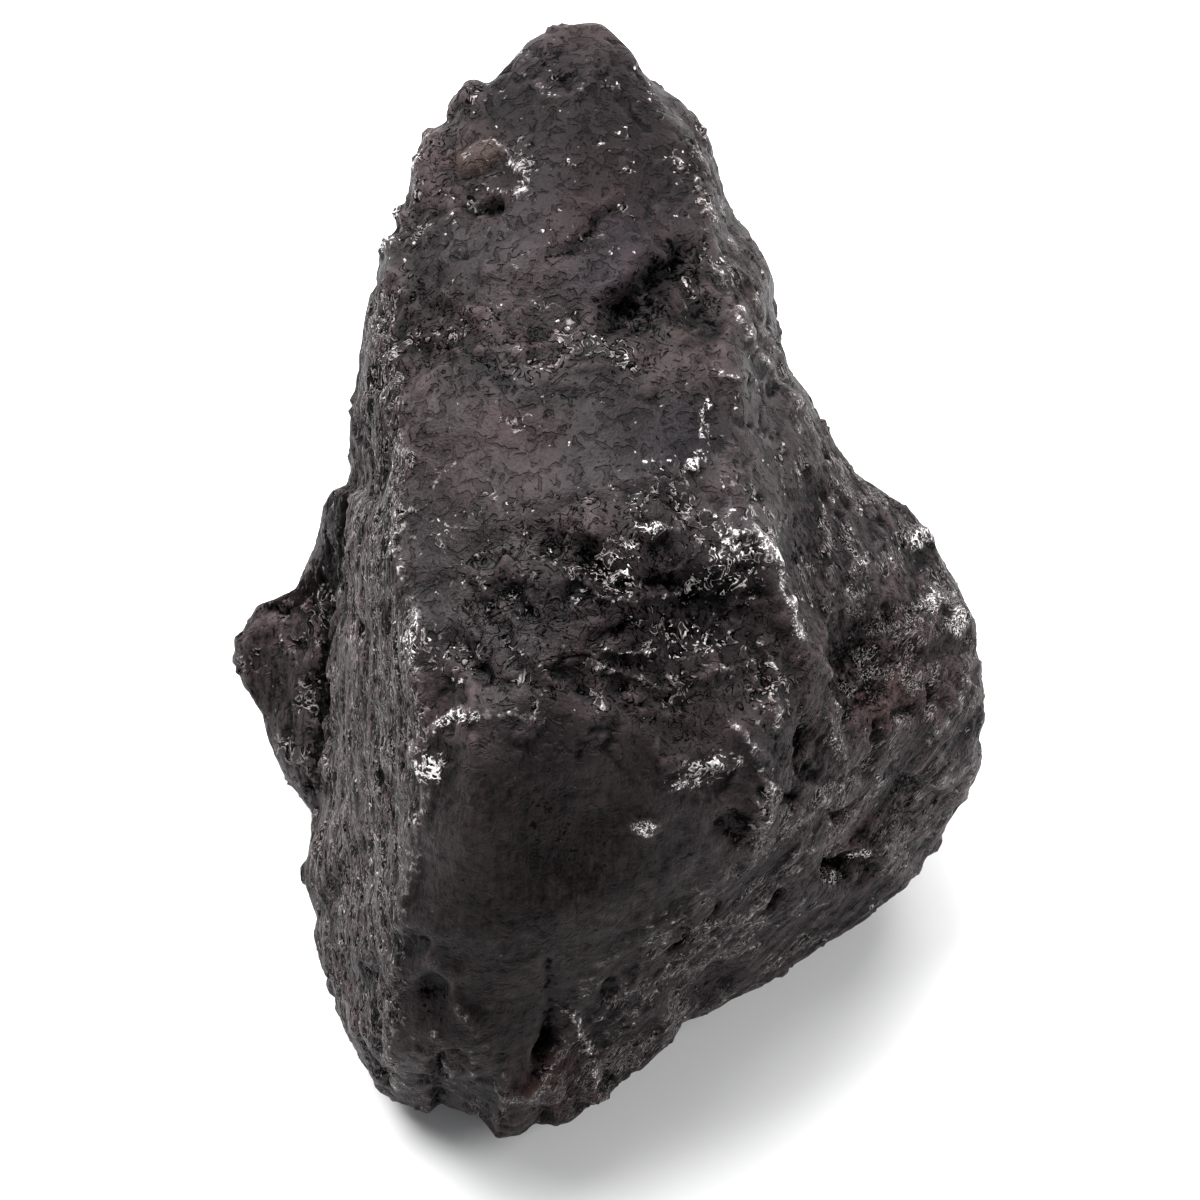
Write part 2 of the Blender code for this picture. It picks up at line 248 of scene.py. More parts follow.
PATCHES = {
    "left flank": [
        (346, 470), (350, 400), (358, 330), (380, 300), (386, 360), (402, 400), (404, 448), (393, 530),
        (412, 600), (420, 690), (426, 790), (412, 850), (398, 960), (386, 1060), (380, 1110),
        (330, 1060), (290, 970), (290, 890), (316, 800), (316, 720), (330, 600), (340, 540),
    ],
    "left bulge": [(330, 590), (316, 720), (312, 830), (240, 730), (215, 655), (240, 590), (290, 580)],
    "right flank": [
        (735, 215), (790, 230), (815, 370), (865, 440), (940, 510), (1000, 640), (1010, 700),
        (970, 850), (880, 930), (760, 1010), (680, 1050), (620, 1120), (530, 1150), (560, 1040),
        (640, 930), (765, 840), (768, 776), (800, 640), (803, 440), (750, 330), (724, 270),
    ],
    "upper right flank": [
        (735, 215), (790, 230), (815, 370), (865, 440), (940, 510), (960, 590), (860, 640), (805, 640),
        (803, 440), (750, 330), (724, 270),
    ],
    "central hollow": [
        (540, 500), (600, 482), (690, 480), (765, 540), (795, 640), (775, 700), (700, 735), (600, 715),
        (540, 700), (480, 690), (445, 640), (470, 560),
    ],
    "upper hollow": [(600, 330), (640, 255), (700, 235), (735, 300), (700, 350), (650, 340)],
    "shaded wedge": [
        (583, 336), (603, 300), (624, 284), (638, 256), (664, 238), (700, 228), (712, 244), (702, 268),
        (682, 286), (664, 312), (642, 327), (615, 331),
    ],
    "shaded shard": [
        (320, 500), (330, 480), (346, 478), (345, 520), (338, 565), (333, 594), (300, 604), (262, 606),
        (290, 580), (304, 560), (322, 540),
    ],
    "rough left of the crown": [
        (350, 280), (400, 262), (470, 275), (500, 310), (560, 330), (640, 340), (690, 350), (640, 372),
        (520, 372), (470, 370), (400, 395), (352, 400), (345, 340),
    ],
    "rough edge of the crown": [
        (400, 120), (450, 70), (500, 70), (470, 130), (450, 200), (420, 250), (380, 262), (372, 240),
    ],
    "rough right edge of the crown": [(690, 110), (725, 150), (740, 230), (715, 235), (695, 200), (680, 140)],
    "smooth tip": [
        (500, 100), (600, 90), (690, 120), (690, 200), (650, 230), (600, 330), (520, 330), (500, 200),
    ],
    "smooth crown": [
        (430, 400), (560, 392), (690, 395), (715, 450), (600, 470), (530, 495), (460, 560), (432, 690),
        (418, 600), (398, 530),
    ],
    "near end": [
        (388, 1060), (430, 1040), (480, 1070), (540, 1075), (590, 1050), (640, 1040), (690, 1010),
        (700, 1030), (600, 1130), (500, 1160), (380, 1120),
    ],
    "front face": [
        (430, 790), (600, 760), (740, 790), (755, 840), (640, 930), (560, 1040), (500, 1110),
        (410, 1090), (392, 1000), (414, 850),
    ],
}


def uneven(points, grain, seed):
    """A soft random number from -1 to 1 at each point, that changes over about the grain's length."""
    table = np.random.default_rng(seed).uniform(-1.0, 1.0, 4096)
    scaled = points / grain + 1000.0
    cell = np.floor(scaled).astype(np.int64)
    share = scaled - cell
    share = share * share * (3.0 - 2.0 * share)
    total = np.zeros(len(points))
    for corner in np.ndindex(2, 2, 2):
        x, y, z = (cell + corner).T
        weight = np.prod(np.where(corner, share, 1.0 - share), axis=1)
        total += weight * table[(x * 7919 ^ y * 104729 ^ z * 1299709) % 4096]
    return total


def rough_layers(points, grain, seed, layers=3):
    """Layers of unevenness, each half as wide and half as strong as the one before."""
    return sum(uneven(points, grain / 2**layer, seed + layer) / 2**layer for layer in range(layers))


def distance_to_path(path, across, down, closed=False):
    """The nearest distance to a path in pixels, signed positive on its left, and how far along it that is."""
    corners = np.array(path, float)
    if closed:
        corners = np.concatenate([corners, corners[:1]])
    best = np.full(len(across), 1e9)
    signed = np.full(len(across), 1e9)
    along = np.zeros(len(across))
    passed = 0.0
    for (ax, ay), (bx, by) in zip(corners[:-1], corners[1:]):
        length = math.hypot(bx - ax, by - ay)
        ex, ey = (bx - ax) / length, (by - ay) / length
        run = np.clip((across - ax) * ex + (down - ay) * ey, 0.0, length)
        dx, dy = across - ax - run * ex, down - ay - run * ey
        gap = np.hypot(dx, dy)
        near = gap < best
        best = np.where(near, gap, best)
        signed = np.where(near, np.copysign(gap, dx * ey - dy * ex), signed)
        along = np.where(near, passed + run, along)
        passed += length
    return best, signed, along / passed


def within(patch, across, down):
    """1 inside the patch, 0 outside and soft across its rim."""
    best, _, _ = distance_to_path(patch, across, down, closed=True)
    corners = np.array(patch, float)
    inside = np.zeros(len(across), bool)
    for (ax, ay), (bx, by) in zip(corners, np.roll(corners, -1, axis=0)):
        spans = (ay > down) != (by > down)
        crossing = ax + (down - ay) * (bx - ax) / (by - ay if by != ay else 1e-9)
        inside ^= spans & (across < crossing)
    return smooth_step(-RIM, RIM, np.where(inside, best, -best))


def keep_attribute(mesh, name, values):
    """Stores one number for each point of the mesh."""
    attribute = mesh.attributes.get(name) or mesh.attributes.new(name, "FLOAT", "POINT")
    attribute.data.foreach_set("value", values.astype(np.float32))


across, down, _ = picture_pixels(net.points)
across = across + WOBBLE * rough_layers(net.points, WOBBLE_GRAIN, 11)
down = down + WOBBLE * rough_layers(net.points, WOBBLE_GRAIN, 21)
seen = smooth_step(*FACING, normals @ BACK)
patch = {name: within(corners, across, down) * seen for name, corners in PATCHES.items()}
hidden_pebbles = smooth_step(-0.1, 0.35, rough_layers(net.points, 9.0 * MM, 31)) * (1.0 - seen)
hidden_fibres = smooth_step(-0.2, 0.3, rough_layers(net.points, 10.0 * MM, 41)) * (1.0 - seen)
flecks = smooth_step(0.0, 0.7, rough_layers(net.points, FLECK_GRAIN, 101))
kinds = {
    "fibres_left": np.maximum(patch["left flank"], 0.4 * patch["left bulge"]),
    "fibres_right": np.maximum(patch["right flank"] - patch["upper right flank"], 0.0),
    "fibres_upper": np.maximum(patch["upper right flank"], 0.8 * hidden_fibres),
    "fibres_front": np.maximum(0.8 * patch["front face"], patch["near end"]) * (1.0 - patch["right flank"]),
    "wrinkled": np.maximum(patch["central hollow"], 0.8 * patch["upper hollow"]),
    "pebbled": np.maximum.reduce([
        patch["rough left of the crown"],
        patch["rough edge of the crown"],
        patch["rough right edge of the crown"],
        0.6 * patch["near end"],
        0.8 * hidden_pebbles,
    ]),
    "worn_smooth": np.maximum.reduce([
        patch["smooth crown"], patch["front face"] * (1.0 - patch["near end"]), 0.6 * patch["smooth tip"],
    ]),
    "calm": patch["front face"],
    "flecked": flecks * (1.0 - 0.9 * patch["front face"]),
    "mottled": 0.5 + 0.5 * rough_layers(net.points, MOTTLE_GRAIN, 111),
}
for name, values in kinds.items():
    keep_attribute(stone_mesh, name, np.clip(values, 0.0, 1.0))
shares = {name: round(float(values.mean()), 2) for name, values in kinds.items()}
print("kinds of crust, share of the points:", shares)

# %% [markdown]
# The single marks come next: crests, ledges, cracks, pits and flakes. Each was looked up in the picture, so
# each is a short path or a round spot in pixels with its width and its height in millimetres. A mark moves
# the points along the stone's own skin direction, and only on the side that the picture shows. The wear and
# glint of a mark says how far the crust is rubbed down to bright metal there, and how strongly a painted
# glint shows there. A raised line also stores its edge, which gets a painted highlight in the finish, and a
# crack or a steep pit stores its painted shade, which turns black.

# %% Crests, ledges and cracks
Line = namedtuple("Line", "width height shine path")

CRESTS = {
    "left crest, upper": Line(0.8, 0.45, 0.5, [(402, 440), (396, 505), (390, 543), (404, 575), (414, 598)]),
    "left crest, middle": Line(0.8, 0.55, 0.45, [
        (414, 598), (418, 642), (422, 687), (425, 725), (423, 760), (428, 792),
    ]),
    "left crest, lower": Line(0.9, 0.45, 0.4, [
        (428, 792), (419, 824), (410, 900), (398, 970), (390, 1010), (385, 1050), (392, 1090),
    ]),
    "rim of the tip's scale": Line(0.35, 0.4, 0.42, [
        (520, 52), (524, 72), (532, 86), (555, 97), (578, 96), (587, 80), (588, 62),
    ]),
    "long crest on the right, upper": Line(0.5, 0.65, 0.6, [
        (712, 262), (719, 275), (732, 306), (745, 340), (768, 367), (791, 402), (803, 432),
    ]),
    "long crest on the right, middle": Line(0.5, 0.75, 1.0, [
        (734, 530), (753, 532), (770, 551), (780, 568), (787, 584), (795, 610), (801, 637),
    ]),
    "long crest on the right, lower": Line(0.45, 0.4, 0.5, [(762, 647), (778, 668), (780, 698), (772, 730)]),
    "crest behind the front face": Line(0.5, 0.4, 0.55, [
        (725, 715), (737, 726), (764, 764), (768, 790), (762, 830),
    ]),
    "front crest on the right": Line(1.3, 0.6, 0.35, [
        (762, 830), (735, 868), (700, 892), (640, 930), (600, 965), (575, 1005), (560, 1050),
    ]),
    "crest over the front face": Line(0.45, 0.4, 0.7, [
        (428, 724), (445, 716), (470, 714), (510, 712), (540, 722),
    ]),
    "ridge of the right flank": Line(0.7, 0.75, 0.45, [
        (822, 650), (844, 707), (846, 726), (840, 768), (817, 802), (787, 829),
    ]),
    "shoulder crest, upper": Line(0.9, 0.8, 0.5, [(973, 655), (961, 688), (941, 722), (930, 743)]),
    "shoulder crest, lower": Line(0.9, 0.8, 0.45, [
        (945, 763), (914, 800), (900, 814), (890, 845), (888, 871),
    ]),
    "slanted ridge near the tip": Line(0.4, 0.35, 0.4, [(385, 250), (410, 240), (440, 222), (480, 196)]),
    "bright edge by the patch": Line(0.3, 0.35, 0.7, [(492, 140), (505, 150), (515, 165), (532, 187)]),
    "ledge under the patch": Line(0.35, 0.3, 0.7, [(495, 192), (515, 196), (534, 190)]),
    "crest by the right edge": Line(0.5, 0.45, 0.6, [(700, 178), (706, 195), (713, 215), (712, 228)]),
    "ledge below the upper hollow": Line(0.4, 0.4, 0.45, [(712, 366), (735, 378), (748, 376), (764, 388)]),
    "net of bright edges, left": Line(0.3, 0.4, 1.0, [
        (700, 512), (716, 520), (722, 538), (738, 548), (742, 562),
    ]),
    "net of bright edges, right": Line(0.3, 0.35, 1.0, [(736, 505), (728, 520), (741, 530), (758, 535)]),
    "edge in the hollow": Line(0.3, 0.4, 0.9, [(600, 652), (618, 656), (642, 657), (660, 650)]),
    "fold in the hollow, upper": Line(0.5, 0.5, 0.5, [
        (520, 548), (560, 560), (600, 590), (640, 600), (700, 585),
    ]),
    "fold in the hollow, lower": Line(0.5, 0.5, 0.4, [
        (560, 640), (600, 668), (660, 690), (720, 672), (760, 660),
    ]),
    "fold in the hollow, left": Line(0.45, 0.4, 0.3, [(470, 570), (500, 600), (520, 640), (560, 690)]),
    "ridge of the near end, left": Line(0.9, 0.5, 0.3, [
        (425, 950), (450, 990), (470, 1020), (490, 1060), (502, 1095),
    ]),
    "ridge of the near end, middle": Line(0.5, 0.35, 0.4, [
        (570, 1022), (557, 1051), (540, 1082), (526, 1109),
    ]),
    "lip of the near pit": Line(0.4, 0.45, 0.8, [
        (552, 1008), (566, 1012), (581, 1024), (593, 1058), (598, 1085),
    ]),
    "strand of the near end, first": Line(0.35, 0.35, 0.5, [
        (458, 1000), (470, 1024), (472, 1051), (478, 1078),
    ]),
    "strand of the near end, second": Line(0.35, 0.3, 0.5, [
        (428, 1021), (436, 1038), (448, 1072), (453, 1092),
    ]),
    "strand of the near end, third": Line(0.4, 0.35, 0.5, [(625, 973), (618, 997), (591, 1017)]),
    "strand of the near end, fourth": Line(0.4, 0.4, 0.45, [
        (700, 944), (659, 983), (635, 1010), (618, 1038), (604, 1065),
    ]),
    "strand of the near end, fifth": Line(0.4, 0.35, 0.4, [
        (693, 1004), (672, 1024), (645, 1041), (622, 1070),
    ]),
    "strand of the near end, sixth": Line(0.35, 0.3, 0.4, [(500, 1060), (506, 1090), (498, 1120)]),
    "fibre of the left flank, first": Line(0.4, 0.3, 0.2, [
        (350, 581), (341, 619), (334, 664), (338, 720), (346, 780), (346, 830),
    ]),
    "fold of the left flank": Line(0.3, 0.3, 0.45, [
        (389, 546), (373, 568), (360, 597), (357, 645), (358, 690),
    ]),
    "fibre of the left flank, second": Line(0.5, 0.28, 0.3, [
        (372, 540), (378, 620), (384, 700), (380, 800), (365, 900),
    ]),
    "fibre of the left flank, third": Line(0.5, 0.25, 0.2, [
        (400, 620), (404, 700), (402, 780), (390, 860), (370, 960),
    ]),
    "spine of the left bulge": Line(0.5, 0.35, 0.3, [(243, 640), (265, 646), (290, 650), (312, 668)]),
    "fold of the left bulge": Line(0.5, 0.3, 0.2, [(255, 610), (285, 640), (300, 690), (305, 740)]),
    "fibre of the right flank, first": Line(0.5, 0.3, 0.4, [
        (800, 850), (760, 900), (715, 950), (680, 1000), (650, 1040),
    ]),
    "fibre of the right flank, second": Line(0.5, 0.3, 0.4, [(860, 760), (820, 840), (770, 900), (730, 960)]),
    "fibre of the right flank, third": Line(0.45, 0.3, 0.3, [(905, 720), (875, 780), (845, 830), (800, 880)]),
    "fibre of the right flank, fourth": Line(0.45, 0.3, 0.3, [
        (690, 900), (650, 950), (622, 1000), (600, 1060),
    ]),
    "fibre of the upper flank, first": Line(0.4, 0.3, 0.4, [
        (750, 290), (765, 340), (790, 380), (820, 440), (835, 500),
    ]),
    "fibre of the upper flank, second": Line(0.4, 0.3, 0.3, [(805, 430), (822, 490), (838, 560), (840, 620)]),
}

CRACKS = {
    "slanted groove near the tip": Line(0.45, -0.9, 0.0, [(612, 203), (600, 220), (588, 232), (575, 246)]),
    "groove's ragged foot": Line(0.45, -0.6, 0.0, [(578, 249), (560, 250), (540, 256)]),
    "groove behind the patch": Line(0.5, -0.6, 0.0, [(462, 190), (478, 204), (500, 208)]),
    "foot of the upper hollow": Line(0.6, -0.8, 0.0, [(598, 332), (620, 322), (642, 326), (662, 318)]),
    "long slit at the near left": Line(0.5, -1.1, 0.0, [
        (362, 960), (366, 985), (375, 1020), (380, 1060), (388, 1098),
    ]),
    "groove by the left bulge": Line(1.1, -1.2, 0.0, [
        (332, 585), (322, 630), (314, 700), (316, 760), (316, 812),
    ]),
    "slit in the left groove": Line(0.5, -0.8, 0.0, [(311, 700), (315, 722), (316, 742)]),
    "slit in the left flank": Line(0.45, -0.6, 0.0, [(340, 772), (343, 790), (345, 806)]),
    "gap at the ragged shard": Line(0.9, -1.0, 0.0, [(346, 492), (338, 530), (330, 565), (318, 590)]),
    "crack under the left crest": Line(0.5, -0.6, 0.0, [(384, 430), (388, 450), (386, 476)]),
    "ragged rim of the upper hollow": Line(0.5, -0.6, 0.0, [(690, 238), (670, 262), (640, 290), (612, 318)]),
    "crack across the crown": Line(0.35, -0.35, 0.0, [(520, 360), (548, 352), (570, 358), (596, 350)]),
    "crack in the hollow, first": Line(0.5, -0.7, 0.0, [
        (540, 530), (580, 545), (620, 575), (680, 570), (730, 600),
    ]),
    "crack in the hollow, second": Line(0.5, -0.4, 0.0, [
        (500, 580), (536, 622), (580, 650), (640, 618), (700, 652),
    ]),
    "crack in the hollow, third": Line(0.45, -0.35, 0.0, [(560, 668), (592, 702), (650, 708), (704, 682)]),
    "crack in the hollow, fourth": Line(0.4, -0.5, 0.0, [(640, 505), (660, 545), (690, 560)]),
    "dark fold of the right flank": Line(0.8, -0.7, 0.0, [(826, 884), (850, 870), (872, 858), (884, 840)]),
    "crack of the right flank": Line(0.4, -0.5, 0.0, [(800, 700), (806, 740), (796, 790), (775, 850)]),
    "valley beside the shoulder": Line(1.6, -1.1, 0.0, [(925, 770), (905, 810), (870, 850), (820, 880)]),
    "crack of the near end": Line(0.5, -0.7, 0.0, [(545, 960), (552, 1000), (545, 1040), (530, 1085)]),
    "notch of the near end": Line(0.5, -0.8, 0.0, [(440, 1060), (438, 1085), (440, 1108)]),
}
LINE_WOBBLE = 5.0
LINE_GRAIN = 1.6 * MM
BREAK_GRAIN = 1.1 * MM
SHADED_WEDGE = 0.42
SHADED_SHARD = 0.85
SHADE_OF_CRACK = 1.6
UNBROKEN_SHARE = 0.65
SHARPNESS = 1.35
SHINE_NARROWING = 1.5
BAND_BREAKS = 0.15
END_RUN = 0.12
END_HEIGHT = 0.35


def line_profile(line, across, down, raggedness):
    """How strongly the line lifts and shines at each pixel: a sharp ridge and a narrow band."""
    best, _, along = distance_to_path(line.path, across, down)
    reach = best / (line.width * PIXELS_PER_MM)
    ends = smooth_step(0.0, END_RUN, along) * smooth_step(0.0, END_RUN, 1.0 - along)
    ends = (END_HEIGHT + (1.0 - END_HEIGHT) * ends) * (UNBROKEN_SHARE + (1.0 - UNBROKEN_SHARE) * raggedness)
    band = np.exp(-((reach * SHINE_NARROWING) ** 2)) * (1.0 - BAND_BREAKS + BAND_BREAKS * raggedness)
    return np.exp(-reach * SHARPNESS) * ends, band


across, down, _ = picture_pixels(net.points)
ragged_across = across + LINE_WOBBLE * rough_layers(net.points, LINE_GRAIN, 51)
ragged_down = down + LINE_WOBBLE * rough_layers(net.points, LINE_GRAIN, 61)
raggedness = rough_layers(net.points, BREAK_GRAIN, 71)
rise = np.zeros(len(net.points))
shine = np.zeros(len(net.points))
edge = np.zeros(len(net.points))
# Painted shade: black in the wedge of the upper hollow, on the shard behind the left flank, and in cracks and
# steep pits.
painted_shade = np.maximum(SHADED_WEDGE * patch["shaded wedge"], SHADED_SHARD * patch["shaded shard"])
for line in [*CRESTS.values(), *CRACKS.values()]:
    profile, band = line_profile(line, ragged_across, ragged_down, raggedness)
    profile, band = profile * seen, band * seen
    rise += line.height * MM * profile
    shine = np.maximum(shine, line.shine * band)
    if line.height < 0.0:
        painted_shade = np.maximum(painted_shade, profile * min(1.0, -line.height * SHADE_OF_CRACK))
    else:
        edge = np.maximum(edge, band * line.shine)
print(f"{len(CRESTS)} crests and ledges, {len(CRACKS)} cracks")

# %% Hollows, pits, knobs and flakes
Spot = namedtuple("Spot", "middle radii turn height shine")

HOLLOWS = {
    "tip's scale": Spot((556, 68), (1.9, 1.6), 0, -0.35, 0.1),
    "pit in the tip's scale": Spot((537, 52), (0.35, 0.3), 0, -0.4, 0.0),
    "upper hollow": Spot((648, 286), (3.6, 1.7), -42, -0.9, 0.0),
    "valley by the upper hollow": Spot((704, 305), (1.2, 2.6), -15, -0.5, 0.0),
    "shade under the patch": Spot((480, 207), (1.5, 0.6), 10, -0.5, 0.0),
    "pebbled dip": Spot((425, 320), (3.2, 3.0), 0, -0.5, 0.0),
    "hollow, as a whole": Spot((655, 612), (8.6, 5.2), 8, -1.1, 0.0),
    "valley under the long crest": Spot((818, 560), (2.2, 5.5), -8, -0.8, 0.0),
    "hollow, upper left": Spot((560, 545), (2.6, 1.6), 10, -0.5, 0.0),
    "hollow, right": Spot((705, 610), (2.4, 2.8), 0, -0.6, 0.0),
    "hollow, lower": Spot((620, 680), (4.0, 1.5), 5, -0.5, 0.0),
    "hollow, left": Spot((500, 610), (1.6, 2.0), 0, -0.35, 0.0),
    "pit in the crown": Spot((481, 671), (0.6, 0.5), 0, -0.5, 0.0),
    "front face, upper": Spot((560, 830), (5.0, 4.0), 10, -0.5, 0.0),
    "front scoop, left": Spot((432, 1000), (1.3, 2.0), 0, -0.4, 0.0),
    "front scoop, upper left": Spot((452, 955), (1.2, 1.3), 0, -0.25, 0.0),
    "near pit": Spot((546, 1042), (0.55, 1.4), 38, -0.9, 0.0),
    "brown scoop of the near end, first": Spot((414, 946), (1.3, 1.2), 0, -0.4, 0.0),
    "brown scoop of the near end, second": Spot((431, 990), (0.9, 0.8), 0, -0.4, 0.0),
    "brown scoop of the near end, third": Spot((438, 1068), (0.7, 0.8), 0, -0.5, 0.0),
    "brown scoop of the near end, fourth": Spot((611, 990), (0.9, 1.1), 10, -0.5, 0.0),
    "brown scoop of the near end, fifth": Spot((608, 1085), (0.6, 0.7), 30, -0.6, 0.0),
    "brown scoop of the near end, sixth": Spot((584, 1109), (0.6, 0.5), 0, -0.5, 0.0),
    "brown scoop of the near end, seventh": Spot((545, 1114), (0.6, 0.5), 0, -0.5, 0.0),
    "brown scoop of the near end, eighth": Spot((500, 1126), (0.5, 0.5), 0, -0.4, 0.0),
    "brown hollow": Spot((735, 830), (1.5, 1.4), 0, -0.7, 0.0),
    "oval pit of the right flank": Spot((806, 745), (0.7, 1.5), 14, -1.0, 0.0),
    "pit of the right flank, second": Spot((811, 775), (0.5, 0.5), 0, -0.5, 0.0),
    "pit of the right flank, third": Spot((790, 800), (0.7, 0.5), 30, -0.6, 0.0),
    "pit of the right flank, fourth": Spot((760, 790), (0.5, 0.5), 0, -0.4, 0.0),
    "pit of the right flank, fifth": Spot((835, 815), (0.6, 0.7), 0, -0.5, 0.0),
    "brown scoop": Spot((868, 672), (2.6, 4.2), 14, -1.6, 0.0),
    "long pit of the right flank, first": Spot((841, 817), (0.4, 1.1), 30, -0.6, 0.0),
    "long pit of the right flank, second": Spot((880, 736), (0.4, 1.2), 25, -0.6, 0.0),
    "long pit of the right flank, third": Spot((904, 712), (0.3, 0.9), 25, -0.5, 0.0),
    "long pit of the right flank, fourth": Spot((866, 765), (0.4, 1.0), 30, -0.5, 0.0),
    "long pit of the right flank, fifth": Spot((850, 727), (0.3, 0.9), 18, -0.5, 0.0),
    "long pit of the right flank, sixth": Spot((928, 700), (0.3, 1.1), 20, -0.5, 0.0),
    "long pit of the right flank, seventh": Spot((712, 912), (0.4, 1.0), 40, -0.5, 0.0),
    "long pit of the right flank, eighth": Spot((676, 942), (0.4, 1.2), 42, -0.6, 0.0),
    "long pit of the right flank, ninth": Spot((736, 866), (0.4, 0.9), 38, -0.5, 0.0),
    "long pit of the right flank, tenth": Spot((778, 898), (0.4, 1.0), 40, -0.5, 0.0),
    "ragged hollow of the right flank": Spot((852, 874), (1.9, 1.1), -35, -0.8, 0.0),
    "pit near the left bulge": Spot((283, 612), (1.2, 0.5), 15, -0.4, 0.0),
    "scoop of the left flank": Spot((350, 880), (1.2, 3.2), 5, -0.4, 0.0),
    "low scoop of the right flank": Spot((700, 985), (2.4, 1.1), -40, -0.5, 0.0),
}

KNOBS = {
    "net of glints": Spot((737, 552), (3.2, 4.0), -20, 0.0, 0.50),
    "glints of the hollow": Spot((625, 560), (2.0, 2.2), 0, 0.0, 0.46),
    "glints under the net": Spot((706, 640), (3.4, 1.6), 0, 0.0, 0.42),
    "glints above the front face": Spot((700, 772), (3.6, 1.3), -25, 0.0, 0.55),
    "glints of the crest": Spot((462, 718), (2.6, 0.5), -3, 0.0, 0.85),
    "glints behind the flake": Spot((640, 500), (1.4, 1.2), -40, 0.0, 0.45),
    "glints beside the crown": Spot((706, 430), (0.9, 2.6), 0, 0.0, 0.45),
    "glints of the left corner": Spot((437, 535), (1.3, 1.4), 0, 0.0, 0.35),
    "glints of the shoulder": Spot((945, 605), (1.9, 2.2), 10, 0.0, 0.42),
    "glints by the patch": Spot((515, 170), (1.3, 1.5), 30, 0.0, 0.40),
    "glints of the edge by the tip": Spot((703, 190), (0.9, 2.6), 0, 0.0, 0.40),
    "patch near the tip": Spot((480, 160), (1.8, 1.2), -25, 0.55, 0.25),
    "knob of the outline": Spot((478, 96), (1.3, 1.1), 0, 0.35, 0.3),
    "chip of the left edge": Spot((396, 216), (0.8, 0.5), -45, 0.5, 0.8),
    "lower chip of the left edge": Spot((386, 246), (0.9, 0.5), -30, 0.5, 0.8),
    "rim light of the left edge": Spot((420, 160), (0.5, 1.4), 20, 0.4, 0.7),
    "knob of the pebbled dip": Spot((470, 312), (0.7, 0.6), 0, 0.5, 0.2),
    "second knob of the dip": Spot((440, 292), (0.6, 0.6), 0, 0.4, 0.2),
    "third knob of the dip": Spot((412, 332), (0.7, 0.6), 0, 0.4, 0.1),
    "fourth knob of the dip": Spot((455, 346), (0.7, 0.5), 0, 0.4, 0.1),
    "fifth knob of the dip": Spot((400, 292), (0.6, 0.6), 0, 0.4, 0.2),
    "band, first lump": Spot((515, 350), (0.9, 0.6), 0, 0.35, 0.2),
    "band, second lump": Spot((556, 338), (0.9, 0.7), 0, 0.35, 0.1),
    "band, third lump": Spot((600, 358), (0.9, 0.6), 0, 0.3, 0.1),
    "bright flake": Spot((655, 527), (1.7, 0.8), 5, 0.5, 0.8),
    "bright speck by the hollow": Spot((690, 466), (0.7, 0.4), -30, 0.35, 1.0),
    "bright speck of the crest": Spot((711, 404), (0.3, 0.6), 0, 0.3, 0.9),
    "white corner of the crest": Spot((436, 768), (1.1, 1.6), 10, 0.4, 0.82),
    "white spot of the crest": Spot((417, 642), (0.6, 1.5), 0, 0.2, 0.75),
    "bright lump of the front": Spot((642, 827), (1.4, 0.6), 0, 0.5, 0.8),
    "second lump of the front": Spot((680, 783), (0.9, 0.5), -20, 0.35, 0.7),
    "third lump of the front": Spot((722, 762), (0.8, 0.5), -20, 0.35, 0.6),
    "flake of the shoulder": Spot((915, 541), (1.3, 0.8), 10, 0.45, 0.8),
    "ring knob": Spot((856, 570), (0.6, 0.6), 0, 0.45, 0.7),
    "light patch of the shoulder": Spot((932, 602), (0.9, 1.0), 0, 0.35, 0.7),
    "second light patch": Spot((958, 622), (0.7, 1.2), 15, 0.3, 0.7),
    "facet of the shoulder": Spot((910, 640), (1.6, 1.2), -30, 0.5, 0.1),
    "flake of the dark fold": Spot((868, 858), (0.9, 0.4), -35, 0.4, 0.8),
    "second flake of the dark fold": Spot((838, 884), (0.7, 0.4), -35, 0.4, 0.6),
    "knee of the front crest": Spot((765, 800), (1.2, 1.6), 0, 0.4, 0.3),
    "knuckle of the near end": Spot((600, 1090), (1.2, 1.0), -30, 0.4, 0.3),
    "swell of the right edge": Spot((960, 770), (1.4, 2.6), 15, 0.5, 0.4),
}


SPOT_FALL = (1.25, 0.35)
SHADE_OF_DEPTH = 0.8
STEEP_RADIUS = 2.2


def spot_profile(spot, across, down):
    """1 in the middle of the spot, 0 from its rim outwards."""
    turn = math.radians(spot.turn)
    right = (across - spot.middle[0]) / PIXELS_PER_MM
    below = (down - spot.middle[1]) / PIXELS_PER_MM
    along = (right * math.cos(turn) + below * math.sin(turn)) / spot.radii[0]
    beside = (below * math.cos(turn) - right * math.sin(turn)) / spot.radii[1]
    return smooth_step(*SPOT_FALL, np.hypot(along, beside))


for spot in [*HOLLOWS.values(), *KNOBS.values()]:
    profile = spot_profile(spot, ragged_across, ragged_down) * seen
    rise += spot.height * MM * profile
    shine = np.maximum(shine, spot.shine * profile)
    # The deeper and narrower a pit, the more painted shade it gets.
    if spot.height < 0.0:
        steepness = min(1.0, -spot.height * SHADE_OF_DEPTH) * min(1.0, STEEP_RADIUS / max(spot.radii))
        painted_shade = np.maximum(painted_shade, profile * steepness)
net.points += normals * rise[:, None]
normals = net.write()
keep_attribute(stone_mesh, "shine", shine)
keep_attribute(stone_mesh, "painted_shade", painted_shade)
keep_attribute(stone_mesh, "edge", edge)
print(f"{len(HOLLOWS)} hollows and pits, {len(KNOBS)} knobs and flakes, up to {rise.max() / MM:.1f} mm high")

